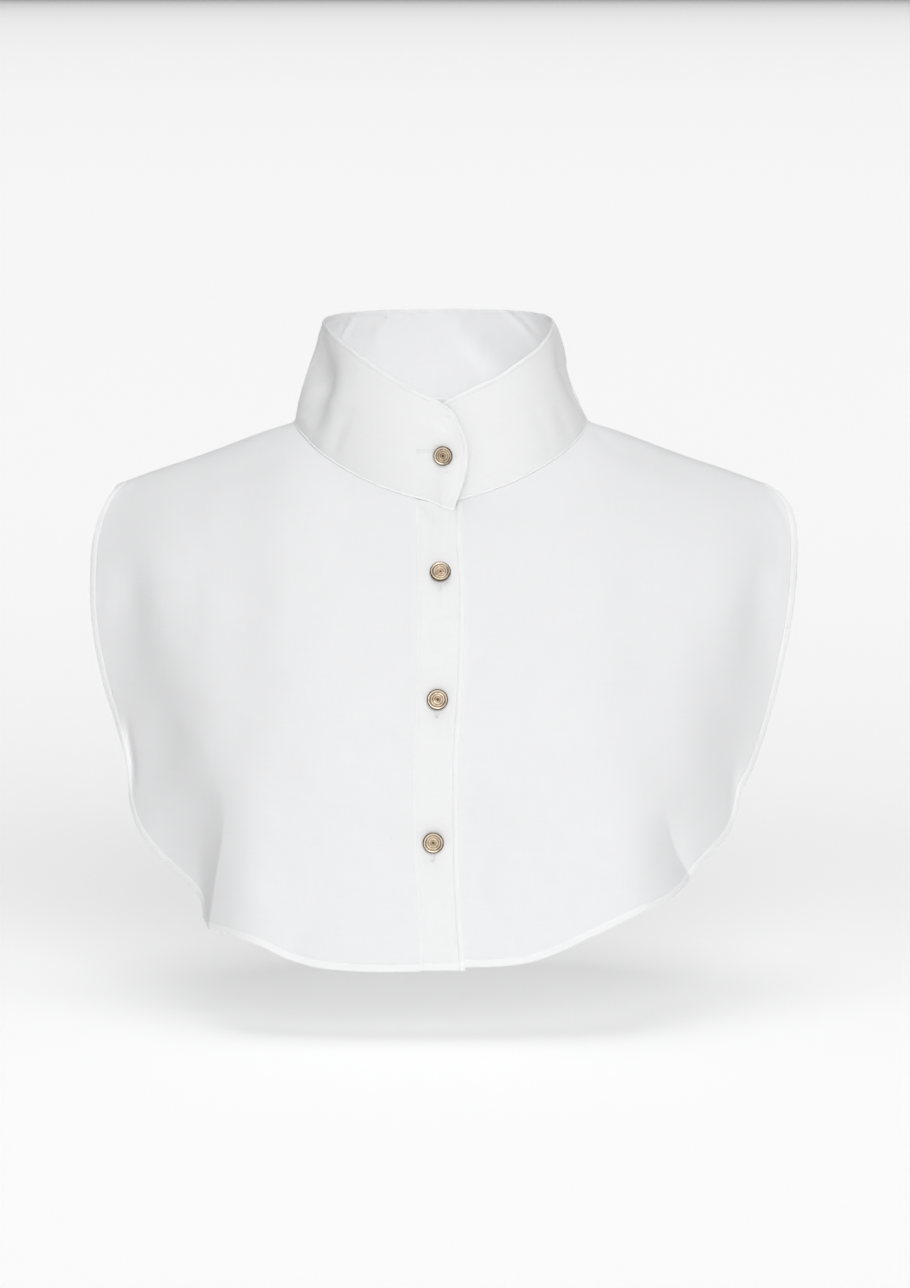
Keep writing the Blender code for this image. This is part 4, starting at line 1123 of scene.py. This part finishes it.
def turn_button(name, seat, out, size, finish):
    """One button turned about the direction out of the cloth at its seat."""
    side = unit(np.cross(out, [0.0, 0.0, 1.0]))
    rise = np.cross(side, out)
    points, darkenings, faces = [], [], []
    rings = len(BUTTON_SECTION)
    for step in range(BUTTON_SIDES):
        turn = math.tau * step / BUTTON_SIDES
        spoke = math.cos(turn) * side + math.sin(turn) * rise
        for radius, height, darkening in BUTTON_SECTION:
            points.append(seat + out * (height * size + SEAM_GAP) + spoke * radius * size)
            darkenings.append(darkening)
        here, there = step * rings, (step + 1) % BUTTON_SIDES * rings
        faces += [(here + k, there + k, there + k + 1, here + k + 1) for k in range(rings - 1)]
    faces.append([step * rings for step in range(BUTTON_SIDES)])
    faces.append([step * rings + rings - 1 for step in reversed(range(BUTTON_SIDES))])
    made = add_mesh(name, points, faces, finish)
    # The darkening is partly patina and partly painted shade on the outer wall, underneath and in the
    # grooves
    made.data.attributes.new("patina_and_shade", "FLOAT", "POINT").data.foreach_set("value", darkenings)
    return made


finish = pale_gold()
seats = [(*on_collar(*COLLAR_BUTTON), COLLAR_BUTTON_SIZE)]
seats += [(*on_band(*place), 1.0) for place in BAND_BUTTONS]
for number, (seat, out, size) in enumerate(seats, start=1):
    button = turn_button(f"button_{number}_turned", seat, out, size, finish)
    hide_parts(f"button_{number}")

# The studio: a plain white table without an edge that glows a little, with a painted shadow in its
# glow behind the collar, a pale sky all round and three soft lights: a broad one in front above the
# camera, one overhead, and a small one inside the neck that brightens the back of the collar. The
# camera looks down a little.

FLOOR_HEIGHT = -0.300
FLOOR_SIZE = 2000.0
FLOOR_GLOW = 0.395
# Share of the glow by distance behind the collar, in metres; it is a little brighter in front and dips from
# 0.15 to 1.3 m behind, a painted shadow of the garment
FLOOR_GLOW_PAINTED_SHADOW = (
    (-1.0, 1.06), (-0.1, 1.0), (0.15, 0.87), (0.4, 0.80), (0.7, 0.87), (1.3, 0.95), (3.0, 1.0),
)
SKY = 0.47
# Broad lights: name, azimuth, elevation, strength
BROAD_LIGHTS = (("front_light", 8, 25, 1.27), ("overhead_light", 0, 85, 0.74))
BROAD_LIGHT_ANGLE = math.radians(36)
# The small lamp stands low inside the neck and shines up at the back of the collar
COLLAR_LIGHT_AIM = (0.004, 0.05, 0.030)
COLLAR_LIGHT_ELEVATION = -14
COLLAR_LIGHT_DISTANCE = 0.080
COLLAR_LIGHT_SIZE = (0.06, 0.03)
COLLAR_LIGHT_STRENGTH = 0.0148
CAMERA_DISTANCE = 2.6
CAMERA_ELEVATION = math.radians(7.4)
CAMERA_TARGET = (0.0068, 0.0, -0.115)
CAMERA_LENS = 139.75

white_table, tree, table_shader = new_finish("white_table")
set_inputs(table_shader, {"Base Color": (0.7, 0.7, 0.7, 1.0), "Roughness": 0.9,
                          "Specular IOR Level": 0.0, "Emission Color": (1.0, 1.0, 1.0, 1.0)})
place = add_node(tree, "ShaderNodeTexCoord")
apart = add_node(tree, "ShaderNodeSeparateXYZ")
tree.links.new(place.outputs["Object"], apart.inputs[0])
nearest, farthest = FLOOR_GLOW_PAINTED_SHADOW[0][0], FLOOR_GLOW_PAINTED_SHADOW[-1][0]
behind = arithmetic(tree, "SUBTRACT", apart.outputs[1], nearest)
behind = arithmetic(tree, "DIVIDE", behind, farthest - nearest)
# The float curve paints the garment's shadow behind the collar into the table's glow
fade = add_node(tree, "ShaderNodeFloatCurve")
points = fade.mapping.curves[0].points
for distance, share in FLOOR_GLOW_PAINTED_SHADOW[1:-1]:
    points.new((distance - nearest) / (farthest - nearest), share * FLOOR_GLOW)
points[0].location = (0.0, FLOOR_GLOW_PAINTED_SHADOW[0][1] * FLOOR_GLOW)
points[-1].location = (1.0, FLOOR_GLOW_PAINTED_SHADOW[-1][1] * FLOOR_GLOW)
fade.mapping.update()
tree.links.new(behind, fade.inputs["Value"])
tree.links.new(fade.outputs[0], table_shader.inputs["Emission Strength"])
corners = [(x * FLOOR_SIZE, y * FLOOR_SIZE, FLOOR_HEIGHT) for x, y in ((-1, -1), (1, -1), (1, 1), (-1, 1))]
table_mesh = bpy.data.meshes.new("table")
table_mesh.from_pydata(corners, [], [(0, 1, 2, 3)])
table_mesh.materials.append(white_table)
table = put_in_scene("table", table_mesh)

world = bpy.data.worlds.new("studio")
world.use_nodes = True
sky_tree = world.node_tree
way = add_node(sky_tree, "ShaderNodeTexCoord")
apart = add_node(sky_tree, "ShaderNodeSeparateXYZ")
sky_tree.links.new(way.outputs["Generated"], apart.inputs[0])
sideways = arithmetic(sky_tree, "POWER", arithmetic(sky_tree, "ABSOLUTE", apart.outputs[0]), 2.0)
sky_light = arithmetic(sky_tree, "MULTIPLY_ADD", sideways, -SKY, SKY)
sky_tree.links.new(sky_light, sky_tree.nodes["Background"].inputs["Strength"])
set_inputs(sky_tree.nodes["Background"], {"Color": (1.0, 1.0, 1.0, 1.0)})
bpy.context.scene.world = world


def add_light(name, kind, aim, azimuth, elevation, distance):
    """Lamp that shines on the aim from an azimuth (0 is straight in front) and an elevation."""
    lamp = bpy.data.lights.new(name, kind)
    made = put_in_scene(name, lamp)
    made.rotation_euler = (math.radians(90 - elevation), 0.0, math.radians(azimuth))
    level = distance * math.cos(math.radians(elevation))
    made.location = (aim[0] + level * math.sin(math.radians(azimuth)),
                     aim[1] - level * math.cos(math.radians(azimuth)),
                     aim[2] + distance * math.sin(math.radians(elevation)))
    return lamp


for name, azimuth, elevation, strength in BROAD_LIGHTS:
    broad_light = add_light(name, "SUN", (0.0, 0.0, 0.0), azimuth, elevation, 2.0)
    broad_light.angle = BROAD_LIGHT_ANGLE
    broad_light.energy = strength
collar_light = add_light(
    "collar_light", "AREA", COLLAR_LIGHT_AIM, 0, COLLAR_LIGHT_ELEVATION, COLLAR_LIGHT_DISTANCE)
collar_light.shape = "RECTANGLE"
collar_light.size, collar_light.size_y = COLLAR_LIGHT_SIZE
collar_light.energy = COLLAR_LIGHT_STRENGTH
bpy.data.objects["collar_light"].visible_camera = False

bpy.context.scene.view_settings.view_transform = "Standard"
camera_data = bpy.data.cameras.new("camera")
camera_data.sensor_width = 36.0
camera_data.lens = CAMERA_LENS
camera_data.clip_end = 5000.0
camera = put_in_scene("camera", camera_data)
camera.location = (CAMERA_TARGET[0],
                   CAMERA_TARGET[1] - CAMERA_DISTANCE * math.cos(CAMERA_ELEVATION),
                   CAMERA_TARGET[2] + CAMERA_DISTANCE * math.sin(CAMERA_ELEVATION))
camera.rotation_euler = (math.pi / 2 - CAMERA_ELEVATION, 0.0, 0.0)
bpy.context.scene.camera = camera
